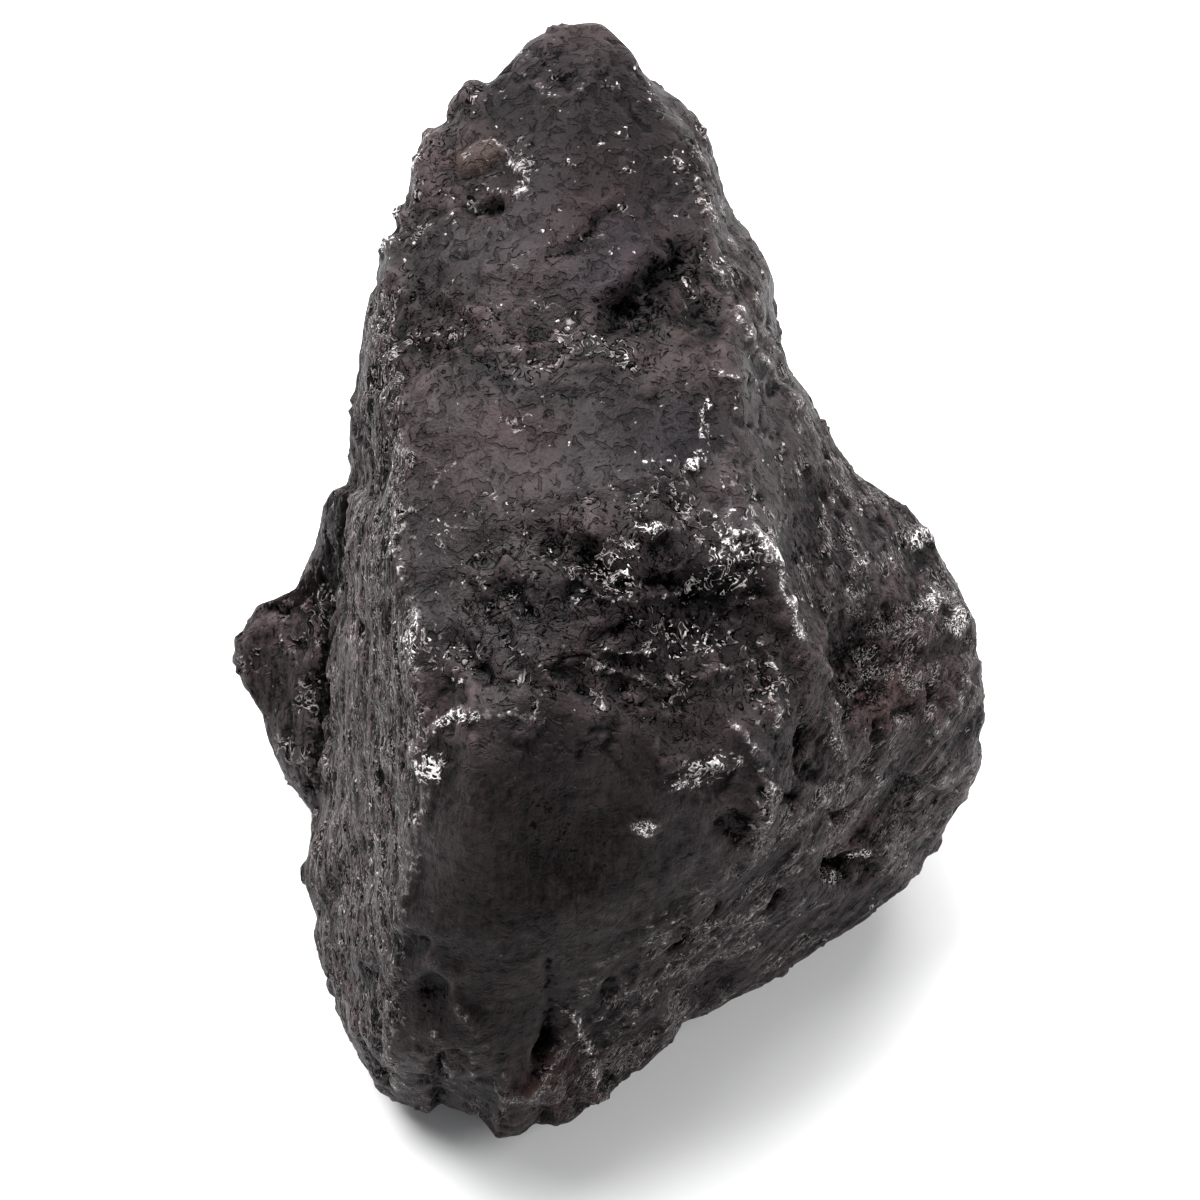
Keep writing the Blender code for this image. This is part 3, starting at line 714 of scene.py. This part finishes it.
# %% [markdown]
# The crust's own relief is too rich to place by hand, so Geometry Nodes makes it in layers that follow the
# skin, most of them switched on by their kind of crust. Soft swells and flat flakes lie everywhere. Pebbles
# come from rounded cells, wrinkles from a ridged noise, fibres from a noise that is drawn out along the way
# the metal flowed, and pits from stretched cells wherever the fibres of the right side run. The tree is a
# rule with named depths and grains, so it can be turned up or down without touching a single point.

# %% Small helpers for node trees
CLIMB = (0.36, 0.64)


def node(tree, kind, inputs=None, **settings):
    """A new node. Its inputs are wired where the value is another node's output and set where it is plain."""
    made = tree.nodes.new(kind)
    for name, value in settings.items():
        setattr(made, name, value)
    for key, value in (inputs or {}).items():
        if isinstance(value, bpy.types.NodeSocket):
            tree.links.new(value, made.inputs[key])
        else:
            made.inputs[key].default_value = value
    return made


def calc(tree, operation, first, second=0.0, third=0.0, clamp=False):
    """One step of arithmetic on numbers."""
    made = node(tree, "ShaderNodeMath", {0: first, 1: second, 2: third}, operation=operation)
    made.use_clamp = clamp
    return made.outputs[0]


def ramp(tree, value, low, high, start=0.0, end=1.0):
    """A smooth step from start at low to end at high."""
    inputs = {0: value, 1: low, 2: high, 3: start, 4: end}
    return node(tree, "ShaderNodeMapRange", inputs, interpolation_type="SMOOTHSTEP").outputs[0]


def noise(tree, place, grain, detail=3.0, roughness=0.6, distortion=0.0, ridged=False):
    """A noise of this grain in metres, from about 0 to 1."""
    made = node(
        tree, "ShaderNodeTexNoise",
        {"Vector": place, "Scale": 1.0 / grain, "Detail": detail, "Roughness": roughness,
         "Distortion": distortion},
        noise_type="RIDGED_MULTIFRACTAL" if ridged else "FBM",
    )
    return made.outputs[0]


def terraces(tree, value, count):
    """The value in flat steps and the place within each step, which is climbed in the middle of its run."""
    run = calc(tree, "MULTIPLY", value, count)
    place_in_step = calc(tree, "FRACT", run)
    climbed = calc(tree, "ADD", calc(tree, "FLOOR", run), ramp(tree, place_in_step, *CLIMB))
    return calc(tree, "DIVIDE", climbed, count), place_in_step


def vector_calc(tree, operation, first, second=None, scale=None):
    """One step of arithmetic on vectors."""
    inputs = {0: first}
    if second is not None:
        inputs[1] = second
    if scale is not None:
        inputs["Scale"] = scale
    made = node(tree, "ShaderNodeVectorMath", inputs, operation=operation)
    return made.outputs[1] if operation == "DOT_PRODUCT" else made.outputs[0]


def squeezed(tree, place, flow, times):
    """The place with its distance along the flow shortened, so that a pattern there is drawn out along it."""
    run = vector_calc(tree, "DOT_PRODUCT", place, flow)
    back = vector_calc(tree, "SCALE", flow, scale=calc(tree, "MULTIPLY", run, 1.0 - 1.0 / times))
    return vector_calc(tree, "SUBTRACT", place, back)


# The way the fibres run on each part of the stone, as unit vectors.
FLOWS = {
    "fibres_left": Vector((0.05, 0.93, 0.36)).normalized(),
    "fibres_right": Vector((0.60, 0.66, 0.45)).normalized(),
    "fibres_upper": Vector((0.38, -0.84, -0.39)).normalized(),
    "fibres_front": Vector((0.05, 0.62, 0.78)).normalized(),
}
COMBED = {"fibres_left": 1.0, "fibres_right": 0.6, "fibres_upper": 0.55, "fibres_front": 0.25}
FIBRE_STRETCH = 7.0

# %% The crust's relief as a Geometry Nodes tree
RELIEF = {
    "Swell grain": 4.2 * MM, "Swell depth": 0.60 * MM,
    "Flake grain": 2.8 * MM, "Flake depth": 1.10 * MM, "Flake steps": 4.0,
    "Pebble grain": 1.35 * MM, "Pebble depth": 0.32 * MM,
    "Wrinkle grain": 1.9 * MM, "Wrinkle depth": 0.60 * MM,
    "Fibre grain": 0.95 * MM, "Fibre depth": 0.66 * MM, "Fibre steps": 3.0,
    "Pit grain": 3.4 * MM, "Pit depth": 0.40 * MM,
}
DRY_FLOOR = (0.1 * MM, 1.2 * MM)
PIT_MOUTH = (0.08, 0.26)


def relief_tree():
    """The relief's node tree, with every size in it as a named input."""
    tree = bpy.data.node_groups.new("crust relief", "GeometryNodeTree")
    tree.is_modifier = True
    tree.interface.new_socket("Geometry", in_out="INPUT", socket_type="NodeSocketGeometry")
    tree.interface.new_socket("Geometry", in_out="OUTPUT", socket_type="NodeSocketGeometry")
    for name, size in RELIEF.items():
        tree.interface.new_socket(name, in_out="INPUT", socket_type="NodeSocketFloat").default_value = size
    tree.interface.new_socket("Crust", in_out="INPUT", socket_type="NodeSocketMaterial")
    given = node(tree, "NodeGroupInput").outputs
    place = node(tree, "GeometryNodeInputPosition").outputs[0]

    def kind(name):
        return node(tree, "GeometryNodeInputNamedAttribute", {"Name": name}, data_type="FLOAT").outputs[0]

    def scaled(grain_name):
        return calc(tree, "DIVIDE", 1.0, given[grain_name])

    def layer(value, middle, strength, depth_name):
        share = calc(tree, "MULTIPLY", calc(tree, "SUBTRACT", value, middle), strength)
        return calc(tree, "MULTIPLY", share, given[depth_name])

    def noise_at(spot, grain_name, detail, roughness, ridged=False, distortion=0.0):
        made = node(
            tree, "ShaderNodeTexNoise",
            {"Vector": spot, "Scale": scaled(grain_name), "Detail": detail, "Roughness": roughness,
             "Distortion": distortion},
            noise_type="RIDGED_MULTIFRACTAL" if ridged else "FBM",
        )
        return made.outputs[0]

    fibres = {name: kind(name) for name in FLOWS}
    smooth = kind("worn_smooth")
    rough = calc(tree, "SUBTRACT", 1.0, calc(tree, "MULTIPLY", smooth, 0.65))
    rough = calc(tree, "MULTIPLY", rough, ramp(tree, fibres["fibres_right"], 0.0, 1.0, 1.0, 0.45))
    layers = [layer(noise_at(place, "Swell grain", 2.0, 0.5), 0.5, rough, "Swell depth")]
    flake_noise = noise_at(place, "Flake grain", 3.0, 0.55, distortion=0.5)
    flakes, _ = terraces(tree, flake_noise, given["Flake steps"])
    layers.append(layer(flakes, 0.5, rough, "Flake depth"))

    shaking = node(tree, "ShaderNodeTexNoise", {"Vector": place, "Scale": scaled("Pebble grain")}).outputs[1]
    push = vector_calc(tree, "SCALE", shaking, scale=calc(tree, "MULTIPLY", given["Pebble grain"], 1.1))
    pushed = vector_calc(tree, "ADD", place, push)
    pebble_cells = {"Vector": pushed, "Scale": scaled("Pebble grain")}
    pebble = node(tree, "ShaderNodeTexVoronoi", pebble_cells, feature="F1")
    dome = calc(tree, "SUBTRACT", 1.0, calc(tree, "MULTIPLY", pebble.outputs["Distance"], 1.25), clamp=True)
    layers.append(layer(dome, 0.45, kind("pebbled"), "Pebble depth"))

    folds = noise_at(place, "Wrinkle grain", 3.0, 0.55, ridged=True, distortion=0.6)
    wrinkled = calc(tree, "ADD", kind("wrinkled"), calc(tree, "MULTIPLY", kind("pebbled"), 0.35))
    layers.append(layer(folds, 0.6, wrinkled, "Wrinkle depth"))

    for name, flow in FLOWS.items():
        drawn_out = squeezed(tree, place, flow, FIBRE_STRETCH)
        strands, _ = terraces(tree, noise_at(drawn_out, "Fibre grain", 2.0, 0.5), given["Fibre steps"])
        share = calc(tree, "MULTIPLY", fibres[name], COMBED[name])
        layers.append(layer(strands, 0.5, share, "Fibre depth"))

    pit_place = squeezed(tree, pushed, FLOWS["fibres_right"], 2.6)
    pit_cells = {"Vector": pit_place, "Scale": scaled("Pit grain")}
    pit = node(tree, "ShaderNodeTexVoronoi", pit_cells, feature="F1")
    chosen = ramp(tree, node(tree, "ShaderNodeSeparateXYZ", {0: pit.outputs["Color"]}).outputs[0], 0.45, 0.7)
    on_right = calc(tree, "MAXIMUM", fibres["fibres_right"], fibres["fibres_upper"])
    chosen = calc(tree, "MULTIPLY", chosen, on_right)
    mouth = ramp(tree, pit.outputs["Distance"], *PIT_MOUTH, start=-1.0, end=0.0)
    layers.append(layer(mouth, 0.0, chosen, "Pit depth"))

    height = layers[0]
    for other in layers[1:]:
        height = calc(tree, "ADD", height, other)
    above_floor = node(tree, "ShaderNodeSeparateXYZ", {0: place}).outputs["Z"]
    height = calc(tree, "MULTIPLY", height, ramp(tree, above_floor, *DRY_FLOOR))
    offset = vector_calc(tree, "SCALE", node(tree, "GeometryNodeInputNormal").outputs[0], scale=height)
    moved = node(tree, "GeometryNodeSetPosition", {"Geometry": given["Geometry"], "Offset": offset})
    real = node(tree, "GeometryNodeRealizeInstances", {0: moved.outputs[0]})
    dressed = node(tree, "GeometryNodeSetMaterial", {"Geometry": real.outputs[0], "Material": given["Crust"]})
    node(tree, "NodeGroupOutput", {0: dressed.outputs[0]})
    return tree


def plain_mesh_through(tree, mesh, values):
    """The mesh after the tree, with the tree's inputs given by name."""
    holder = bpy.data.objects.new("relief_holder", mesh)
    scene.collection.objects.link(holder)
    modifier = holder.modifiers.new("relief", "NODES")
    modifier.node_group = tree
    for item in tree.interface.items_tree:
        if item.in_out == "INPUT" and item.name in values:
            modifier[item.identifier] = values[item.name]
    graph = bpy.context.evaluated_depsgraph_get()
    result = bpy.data.meshes.new_from_object(holder.evaluated_get(graph))
    bpy.data.objects.remove(holder)
    return result


crust = bpy.data.materials.new("iron_crust")
crust.use_nodes = True
stone_mesh = plain_mesh_through(relief_tree(), stone_mesh, {**RELIEF, "Crust": crust})
print(f"relief: {len(RELIEF)} named sizes, {len(stone_mesh.vertices)} points")

# %% [markdown]
# Colour follows form: whatever stands proud is painted lighter, partly as wear rubbed bright and partly as a
# painted highlight, and whatever lies deep gets painted shade. The finished net is compared with softened
# copies of itself. Where a point stands above the soft copy it is a crest, and where it stands below it is a
# hollow. Both are stored for the material to read.

# %% Crests and hollows of the finished surface
FINE_ROUNDS = 3
BROAD_ROUNDS = 40
FINE_SCALE = 0.07 * MM
BROAD_SCALE = 0.35 * MM

net = Net(stone_mesh)
net.points[:, 2] = np.maximum(net.points[:, 2], 0.0)
normals = net.write()
fine_soft = net.melt(net.points, FINE_ROUNDS)
broad_soft = net.melt(fine_soft, BROAD_ROUNDS)
fine_rise = np.einsum("ij,ij->i", net.points - fine_soft, normals) / FINE_SCALE
broad_rise = np.einsum("ij,ij->i", net.points - broad_soft, normals) / BROAD_SCALE
keep_attribute(stone_mesh, "fine_rise", np.clip(fine_rise, -2.0, 2.0))
keep_attribute(stone_mesh, "broad_rise", np.clip(broad_rise, -2.0, 2.0))
for name, values in {"fine rise": fine_rise, "broad rise": broad_rise}.items():
    print(name, np.percentile(values, [5, 50, 95]).round(2))

# %% [markdown]
# The finish is one procedural material. Old iron crust is nearly black with a brown or bluish cast, dull in
# its hollows and half metallic where it stands proud. Soft spots of colour, stored on the points, give each
# region its cast, and some of them are painted light and painted shade: lighter flanks and rim, darker front
# and hollows. Noise in flat steps gives scales, each with painted shade in the gap before it and a painted
# highlight on its rim, and the same noise drawn out along the flow gives strands. Painted shade makes ragged
# black clefts, small cells give painted glints and dark specks, and bare metal, partly a painted glint, shows
# where the wear and glint is strong. Grain finer than the net is bump.
# region its cast. Noise in flat steps gives scales, each with a dark gap before it and a pale rim on it, and
# the same noise drawn out along the flow gives strands. Gloom makes ragged black clefts, small cells give
# sparks and dark specks, and bare metal shows where the shine is strong. Grain finer than the net is bump.

# %% Casts of colour, some of them painted light and painted shade
Tint = namedtuple("Tint", "middle radii turn colour")

TINTS = {
    "red cast on the crown": Tint((530, 425), (3.2, 2.0), 0, (1.30, 1.02, 0.98)),
    "second red cast": Tint((600, 560), (2.0, 1.4), 0, (1.15, 1.0, 0.98)),
    "blue cast on the crown": Tint((672, 430), (3.2, 2.4), 0, (0.98, 1.05, 1.16)),
    "beige patch": Tint((482, 158), (1.9, 1.3), -25, (1.55, 1.42, 1.20)),
    "brown of the front hollow": Tint((735, 830), (1.8, 1.6), 0, (1.10, 0.88, 0.78)),
    "brown scoop": Tint((882, 690), (3.4, 3.8), 15, (1.05, 0.90, 0.84)),
    "brown lower valley": Tint((850, 830), (3.4, 2.4), -40, (1.08, 0.90, 0.84)),
    "warm near end": Tint((560, 1080), (4.5, 2.2), -20, (1.45, 1.18, 1.06)),
    # Painted light: the left flank, the right rim and the left bulge are made lighter where they catch the
    # light and the pale paper.
    "painted light on the left flank": Tint((362, 760), (3.2, 14.0), 0, (1.24, 1.22, 1.22)),
    "painted light on the right rim": Tint((932, 800), (2.0, 5.6), 24, (2.30, 2.25, 2.25)),
    "painted light on the left bulge": Tint((290, 630), (2.8, 1.6), -10, (1.10, 1.12, 1.14)),
    "dark plane of the left flank": Tint((374, 618), (0.9, 2.4), 8, (0.50, 0.51, 0.54)),
    # Painted shade: the front, which faces away from the light, is made darker.
    "painted shade on the front": Tint((560, 920), (9.5, 11.5), 0, (0.67, 0.68, 0.65)),
    # Painted shade in the central and upper hollows, where they lie in shade.
    "painted shade in the central hollow": Tint((640, 610), (9.2, 6.0), 0, (0.46, 0.47, 0.50)),
    "painted shade in the upper hollow": Tint((655, 285), (4.4, 2.2), -42, (0.55, 0.56, 0.60)),
    "dark tip": Tint((590, 140), (9.0, 10.0), 0, (0.57, 0.56, 0.59)),
    "bluish plane near the tip": Tint((620, 250), (5.0, 2.2), -40, (0.86, 0.92, 1.04)),
    "dark left edge": Tint((375, 420), (1.8, 5.5), 5, (0.55, 0.53, 0.54)),
    # Painted shade at the foot of the front, which faces away from the light.
    "painted shade at the foot of the front": Tint((500, 1070), (8.0, 6.5), 0, (0.76, 0.75, 0.74)),
    "calm right flank": Tint((770, 900), (7.5, 4.0), -40, (0.82, 0.79, 0.80)),
    "calm upper flank": Tint((825, 490), (3.2, 6.0), -15, (0.80, 0.77, 0.78)),
    "calm crown": Tint((580, 430), (9.0, 5.0), 0, (0.86, 0.86, 0.87)),
    "dark pebbled dip": Tint((425, 325), (3.4, 3.0), 0, (0.72, 0.72, 0.74)),
}

WARM_SHIFT = (0.06, -0.02, -0.06)
FLANK_PAINTED_LIGHT = 1.05

across, down, _ = picture_pixels(net.points)
across = across + WOBBLE * rough_layers(net.points, WOBBLE_GRAIN, 81)
down = down + WOBBLE * rough_layers(net.points, WOBBLE_GRAIN, 91)
seen = smooth_step(*FACING, normals @ BACK)
cast = np.ones((len(net.points), 4))
for tint in TINTS.values():
    share = spot_profile(Spot(tint.middle, tint.radii, tint.turn, 0.0, 0.0), across, down) * seen
    cast[:, :3] *= 1.0 + share[:, None] * (np.array(tint.colour) - 1.0)
hue = np.clip(rough_layers(net.points, 5.0 * MM, 121), -1.0, 1.0)
cast[:, :3] *= 1.0 + hue[:, None] * np.array(WARM_SHIFT)
# Painted light: the left flank and bulge are made lighter still.
flank = np.maximum(patch["left flank"], patch["left bulge"])
cast[:, :3] *= (1.0 + (FLANK_PAINTED_LIGHT - 1.0) * smooth_step(0.3, 0.7, flank))[:, None]
cast_attribute = stone_mesh.attributes.new("cast", "FLOAT_COLOR", "POINT")
cast_attribute.data.foreach_set("color", cast.ravel().astype(np.float32))
print(f"{len(TINTS)} casts of colour")

# %% The crust's finish
BLACK_CRUST = (0.0024, 0.0020, 0.0021, 1.0)
GREY_CRUST = (0.0430, 0.0315, 0.0325, 1.0)
PAINTED_HIGHLIGHT = (0.19, 0.172, 0.168, 1.0)
METAL_AND_PAINTED_GLINT = (0.75, 0.73, 0.71, 1.0)
CHANCE_GRAIN = 0.70 * MM
BUMP = {
    "grain": (0.20 * MM, 0.06 * MM),
    "scale": (0.85 * MM, 0.50 * MM),
    "fibre": (0.42 * MM, 0.42 * MM),
}
SCALE_STEPS = (3.4, 4.6)
FIBRE_STEPS = 7.0
FINE_FIBRE_STRETCH = 5.0
SHADED_GAP_BAND = (0.22, 0.36, 0.42, 0.50)
HIGHLIGHT_BAND = (0.47, 0.54, 0.64, 0.78)
HIGHLIGHT_EDGE_SHARE = 0.48
SPARK_GRAIN = 0.50 * MM
SPARK_SHAKE = (0.34 * MM, 0.75 * MM)
PAINTED_GLINT = (0.42, 0.40, 0.385, 1.0)
GLOSS = 0.08
METAL_SHARE = 0.6


def crust_finish(material):
    """Fills in the crust's node tree."""
    tree = material.node_tree
    shader = tree.nodes["Principled BSDF"]
    place = node(tree, "ShaderNodeTexCoord").outputs["Object"]

    def stored(name):
        return node(tree, "ShaderNodeAttribute", attribute_name=name).outputs["Fac"]

    def times(first, second):
        return calc(tree, "MULTIPLY", first, second)

    def plus(first, second):
        return calc(tree, "ADD", first, second)

    def less(share, strength):
        return calc(tree, "SUBTRACT", 1.0, times(share, strength))

    def about(value, middle, strength):
        return times(calc(tree, "SUBTRACT", value, middle), strength)

    def blended(share, first, second, way="MIX"):
        made = node(tree, "ShaderNodeMix", {0: share, 6: first, 7: second}, data_type="RGBA", blend_type=way)
        return made.outputs[2]

    def band(value, rise_from, rise_to, fall_from, fall_to):
        return times(ramp(tree, value, rise_from, rise_to), ramp(tree, value, fall_from, fall_to, 1.0, 0.0))

    def either(share, first, second):
        return plus(times(first, calc(tree, "SUBTRACT", 1.0, share)), times(second, share))

    fibrous, combed, flow = 0.0, 0.0, FLOWS["fibres_left"]
    for name, way in FLOWS.items():
        share = stored(name)
        stronger = calc(tree, "GREATER_THAN", share, fibrous)
        flow = node(tree, "ShaderNodeMix", {0: stronger, 4: flow, 5: way}, data_type="VECTOR").outputs[1]
        fibrous = calc(tree, "MAXIMUM", share, fibrous)
        combed = plus(combed, times(share, COMBED[name]))
    drawn = squeezed(tree, place, flow, FINE_FIBRE_STRETCH)
    wrinkled, pebbled, smooth = stored("wrinkled"), stored("pebbled"), stored("worn_smooth")
    fine, broad = stored("fine_rise"), stored("broad_rise")
    shine, painted_shade = stored("shine"), stored("painted_shade")
    flecked, mottled = stored("flecked"), stored("mottled")
    rough = calc(tree, "MAXIMUM", wrinkled, pebbled)

    grain = noise(tree, place, BUMP["grain"][0], 2.0, 0.6)
    scale_noise = noise(tree, place, BUMP["scale"][0], 3.0, 0.52, 0.9)
    steps = plus(SCALE_STEPS[0], times(rough, SCALE_STEPS[1] - SCALE_STEPS[0]))
    scales, scale_place = terraces(tree, scale_noise, steps)
    strands, strand_place = terraces(tree, noise(tree, drawn, BUMP["fibre"][0], 3.0, 0.62, 0.6), FIBRE_STEPS)

    even = times(less(smooth, 0.40), less(fibrous, 0.5))
    height = times(grain, BUMP["grain"][1])
    height = plus(height, times(times(scales, even), BUMP["scale"][1]))
    height = plus(height, times(times(strands, combed), BUMP["fibre"][1]))
    bump = node(tree, "ShaderNodeBump", {"Strength": 1.0, "Distance": 1.0, "Height": height})
    tree.links.new(bump.outputs[0], shader.inputs["Normal"])

    step_place = either(ramp(tree, fibrous, 0.45, 0.55), scale_place, strand_place)
    # Painted shade in the gap before each scale or strand, and a painted highlight on its rim.
    gap = band(step_place, *SHADED_GAP_BAND)
    rim = band(step_place, *HIGHLIGHT_BAND)
    chance = noise(tree, place, CHANCE_GRAIN, 2.0, 0.6)
    tone = plus(times(about(scales, 0.5, 0.45), even), about(grain, 0.5, 0.55))
    tone = plus(tone, times(about(strands, 0.5, 3.8), combed))
    # Painted shade in hollows and painted light on crests, from how far each point stands above its softened
    # copies.
    tone = plus(tone, plus(times(fine, 0.16), times(broad, 0.18)))
    tone = plus(tone, plus(about(mottled, 0.5, 0.36), times(about(chance, 0.5, 0.9), stored("calm"))))
    colour = blended(ramp(tree, tone, -0.42, 0.62), BLACK_CRUST, GREY_CRUST)
    cast = node(tree, "ShaderNodeAttribute", attribute_name="cast").outputs["Color"]
    colour = blended(1.0, colour, cast, "MULTIPLY")
    # Painted glints: small scattered cells turn pale grey, standing for tiny specular sparks.
    shake = node(tree, "ShaderNodeTexNoise", {"Vector": place, "Scale": 1.0 / SPARK_SHAKE[0]}).outputs[1]
    shaken = vector_calc(tree, "ADD", place, vector_calc(tree, "SCALE", shake, scale=SPARK_SHAKE[1]))
    spark = node(tree, "ShaderNodeTexVoronoi", {"Vector": shaken, "Scale": 1.0 / SPARK_GRAIN}, feature="F1")
    lots = node(tree, "ShaderNodeSeparateXYZ", {0: spark.outputs["Color"]}).outputs
    near = ramp(tree, spark.outputs["Distance"], 0.12, 0.27, 1.0, 0.0)
    calm = less(stored("calm"), 0.8)
    painted_glints = ramp(tree, plus(lots[0], plus(times(flecked, 0.40), about(chance, 0.5, 1.2))), 0.98, 1.20)
    # Painted shade: ragged black clefts in cracks, pits, the shaded wedge and the shaded shard.
    ragged = plus(painted_shade, plus(about(chance, 0.5, 2.0), about(grain, 0.5, 1.2)))
    ragged = times(ramp(tree, ragged, 0.34, 0.60), ramp(tree, painted_shade, 0.04, 0.20))
    painted_glints = times(times(near, painted_glints), times(calm, calc(tree, "SUBTRACT", 1.0, ragged)))
    speckle = times(near, ramp(tree, plus(lots[1], times(flecked, 0.25)), 0.72, 0.92))
    cracked = plus(times(rough, 0.60), times(combed, 0.90))
    gap_share = plus(about(chance, 0.5, 1.8), plus(times(flecked, 0.45), cracked))
    gap_share = ramp(tree, calc(tree, "SUBTRACT", gap_share, times(smooth, 0.22)), 0.18, 0.70)
    # Painted shade from the clefts and the gaps, and the dark specks, darken the colour.
    darkening = times(less(ragged, 0.88), less(times(gap, gap_share), 0.95))
    darkening = times(darkening, less(speckle, 0.8))
    colour = vector_calc(tree, "SCALE", colour, scale=darkening)
    # Painted highlight on the rims of scales and strands.
    pale = plus(times(flecked, 0.60), plus(times(rough, 0.34), times(combed, 0.74)))
    pale = plus(pale, plus(times(shine, 0.9), about(chance, 0.5, 1.8)))
    colour = blended(times(rim, ramp(tree, pale, 0.56, 1.0)), colour, PAINTED_HIGHLIGHT)
    # Painted highlight: a pale line along each raised line's stored edge.
    edge = plus(stored("edge"), plus(about(chance, 0.5, 1.6), about(grain, 0.5, 1.0)))
    edge = times(ramp(tree, edge, 0.30, 0.85), ramp(tree, stored("edge"), 0.05, 0.25))
    colour = blended(times(edge, HIGHLIGHT_EDGE_SHARE), colour, PAINTED_HIGHLIGHT)
    colour = blended(painted_glints, colour, PAINTED_GLINT)

    # Bare metal where crests are rubbed and the wear and glint is strong; its pale colour is partly a painted
    # glint that shows under any light.
    rubbed = plus(plus(shine, times(fine, 0.10)), plus(times(wrinkled, 0.08), about(chance, 0.5, 1.5)))
    on_rims = times(rim, ramp(tree, rubbed, 0.46, 0.90))
    metal = calc(tree, "MAXIMUM", on_rims, ramp(tree, plus(shine, about(grain, 0.5, 2.4)), 0.86, 1.12))
    tree.links.new(blended(metal, colour, METAL_AND_PAINTED_GLINT), shader.inputs["Base Color"])
    tree.links.new(ramp(tree, metal, 0.0, 1.0, 0.0, METAL_SHARE), shader.inputs["Metallic"])
    cast_strength = node(tree, "ShaderNodeSeparateColor", {0: cast}).outputs[1]
    tree.links.new(times(times(darkening, cast_strength), GLOSS), shader.inputs["Specular IOR Level"])
    roughness = ramp(tree, scale_noise, 0.28, 0.72, 0.58, 0.40)
    roughness = calc(tree, "SUBTRACT", roughness, times(wrinkled, 0.10))
    roughness = calc(tree, "SUBTRACT", roughness, times(metal, 0.08))
    tree.links.new(roughness, shader.inputs["Roughness"])


crust_finish(crust)
print(f"crust finish: {len(crust.node_tree.nodes)} nodes")

# %% [markdown]
# The finished net becomes the one visible piece. It rides on the root body, stands for the imported solid
# and wears the crust finish made above. Its object stays at the origin, with its place in its mesh.

# %% The stone
stone = bpy.data.objects.new("stone", stone_mesh)
scene.collection.objects.link(stone)
stone_mesh.shade_smooth()
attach(stone, "root")
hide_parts("meteorite")
print(f"stone: {sum(len(face.vertices) - 2 for face in stone_mesh.polygons)} triangles")

# %% [markdown]
# The table is plain white paper, so bright that it has no texture of its own. The light is a wide window
# behind the stone on the left, with a weaker lamp behind it on the right and a faint one at its right side.
# Nothing shines from the camera's side, so the front face stays dark and the flanks look pale; painted shade
# and painted light in the stone's casts add to both.

# %% Table and light
FLOOR_HALF = 2.0
PAPER = (0.86, 0.86, 0.86, 1.0)
Lamp = namedtuple("Lamp", "place size power")
LAMPS = {
    "window": Lamp((-0.34, 0.56, 0.74), 0.70, 29.0),
    "fill": Lamp((0.80, 0.10, 0.45), 0.40, 6.0),
    "back": Lamp((0.20, 0.64, 0.68), 0.50, 9.0),
}
SKY = (0.55, 0.56, 0.58, 1.0)
SKY_STRENGTH = 0.385

floor_mesh = bpy.data.meshes.new("paper")
corners = [(x * FLOOR_HALF, y * FLOOR_HALF, 0) for x, y in ((-1, -1), (1, -1), (1, 1), (-1, 1))]
floor_mesh.from_pydata(corners, [], [(0, 1, 2, 3)])
floor = bpy.data.objects.new("paper", floor_mesh)
scene.collection.objects.link(floor)
paper = bpy.data.materials.new("white_paper")
paper.use_nodes = True
paper.node_tree.nodes["Principled BSDF"].inputs["Base Color"].default_value = PAPER
paper.node_tree.nodes["Principled BSDF"].inputs["Roughness"].default_value = 0.9
floor_mesh.materials.append(paper)

for name, lamp in LAMPS.items():
    light = bpy.data.lights.new(name, "AREA")
    light.size = lamp.size
    light.energy = lamp.power
    holder = bpy.data.objects.new(name, light)
    holder.location = lamp.place
    holder.rotation_euler = Vector(lamp.place).to_track_quat("Z", "Y").to_euler()
    scene.collection.objects.link(holder)

world = bpy.data.worlds.new("studio")
world.use_nodes = True
world.node_tree.nodes["Background"].inputs["Color"].default_value = SKY
world.node_tree.nodes["Background"].inputs["Strength"].default_value = SKY_STRENGTH
scene.world = world
scene.view_settings.view_transform = "Standard"
scene.view_settings.look = "None"
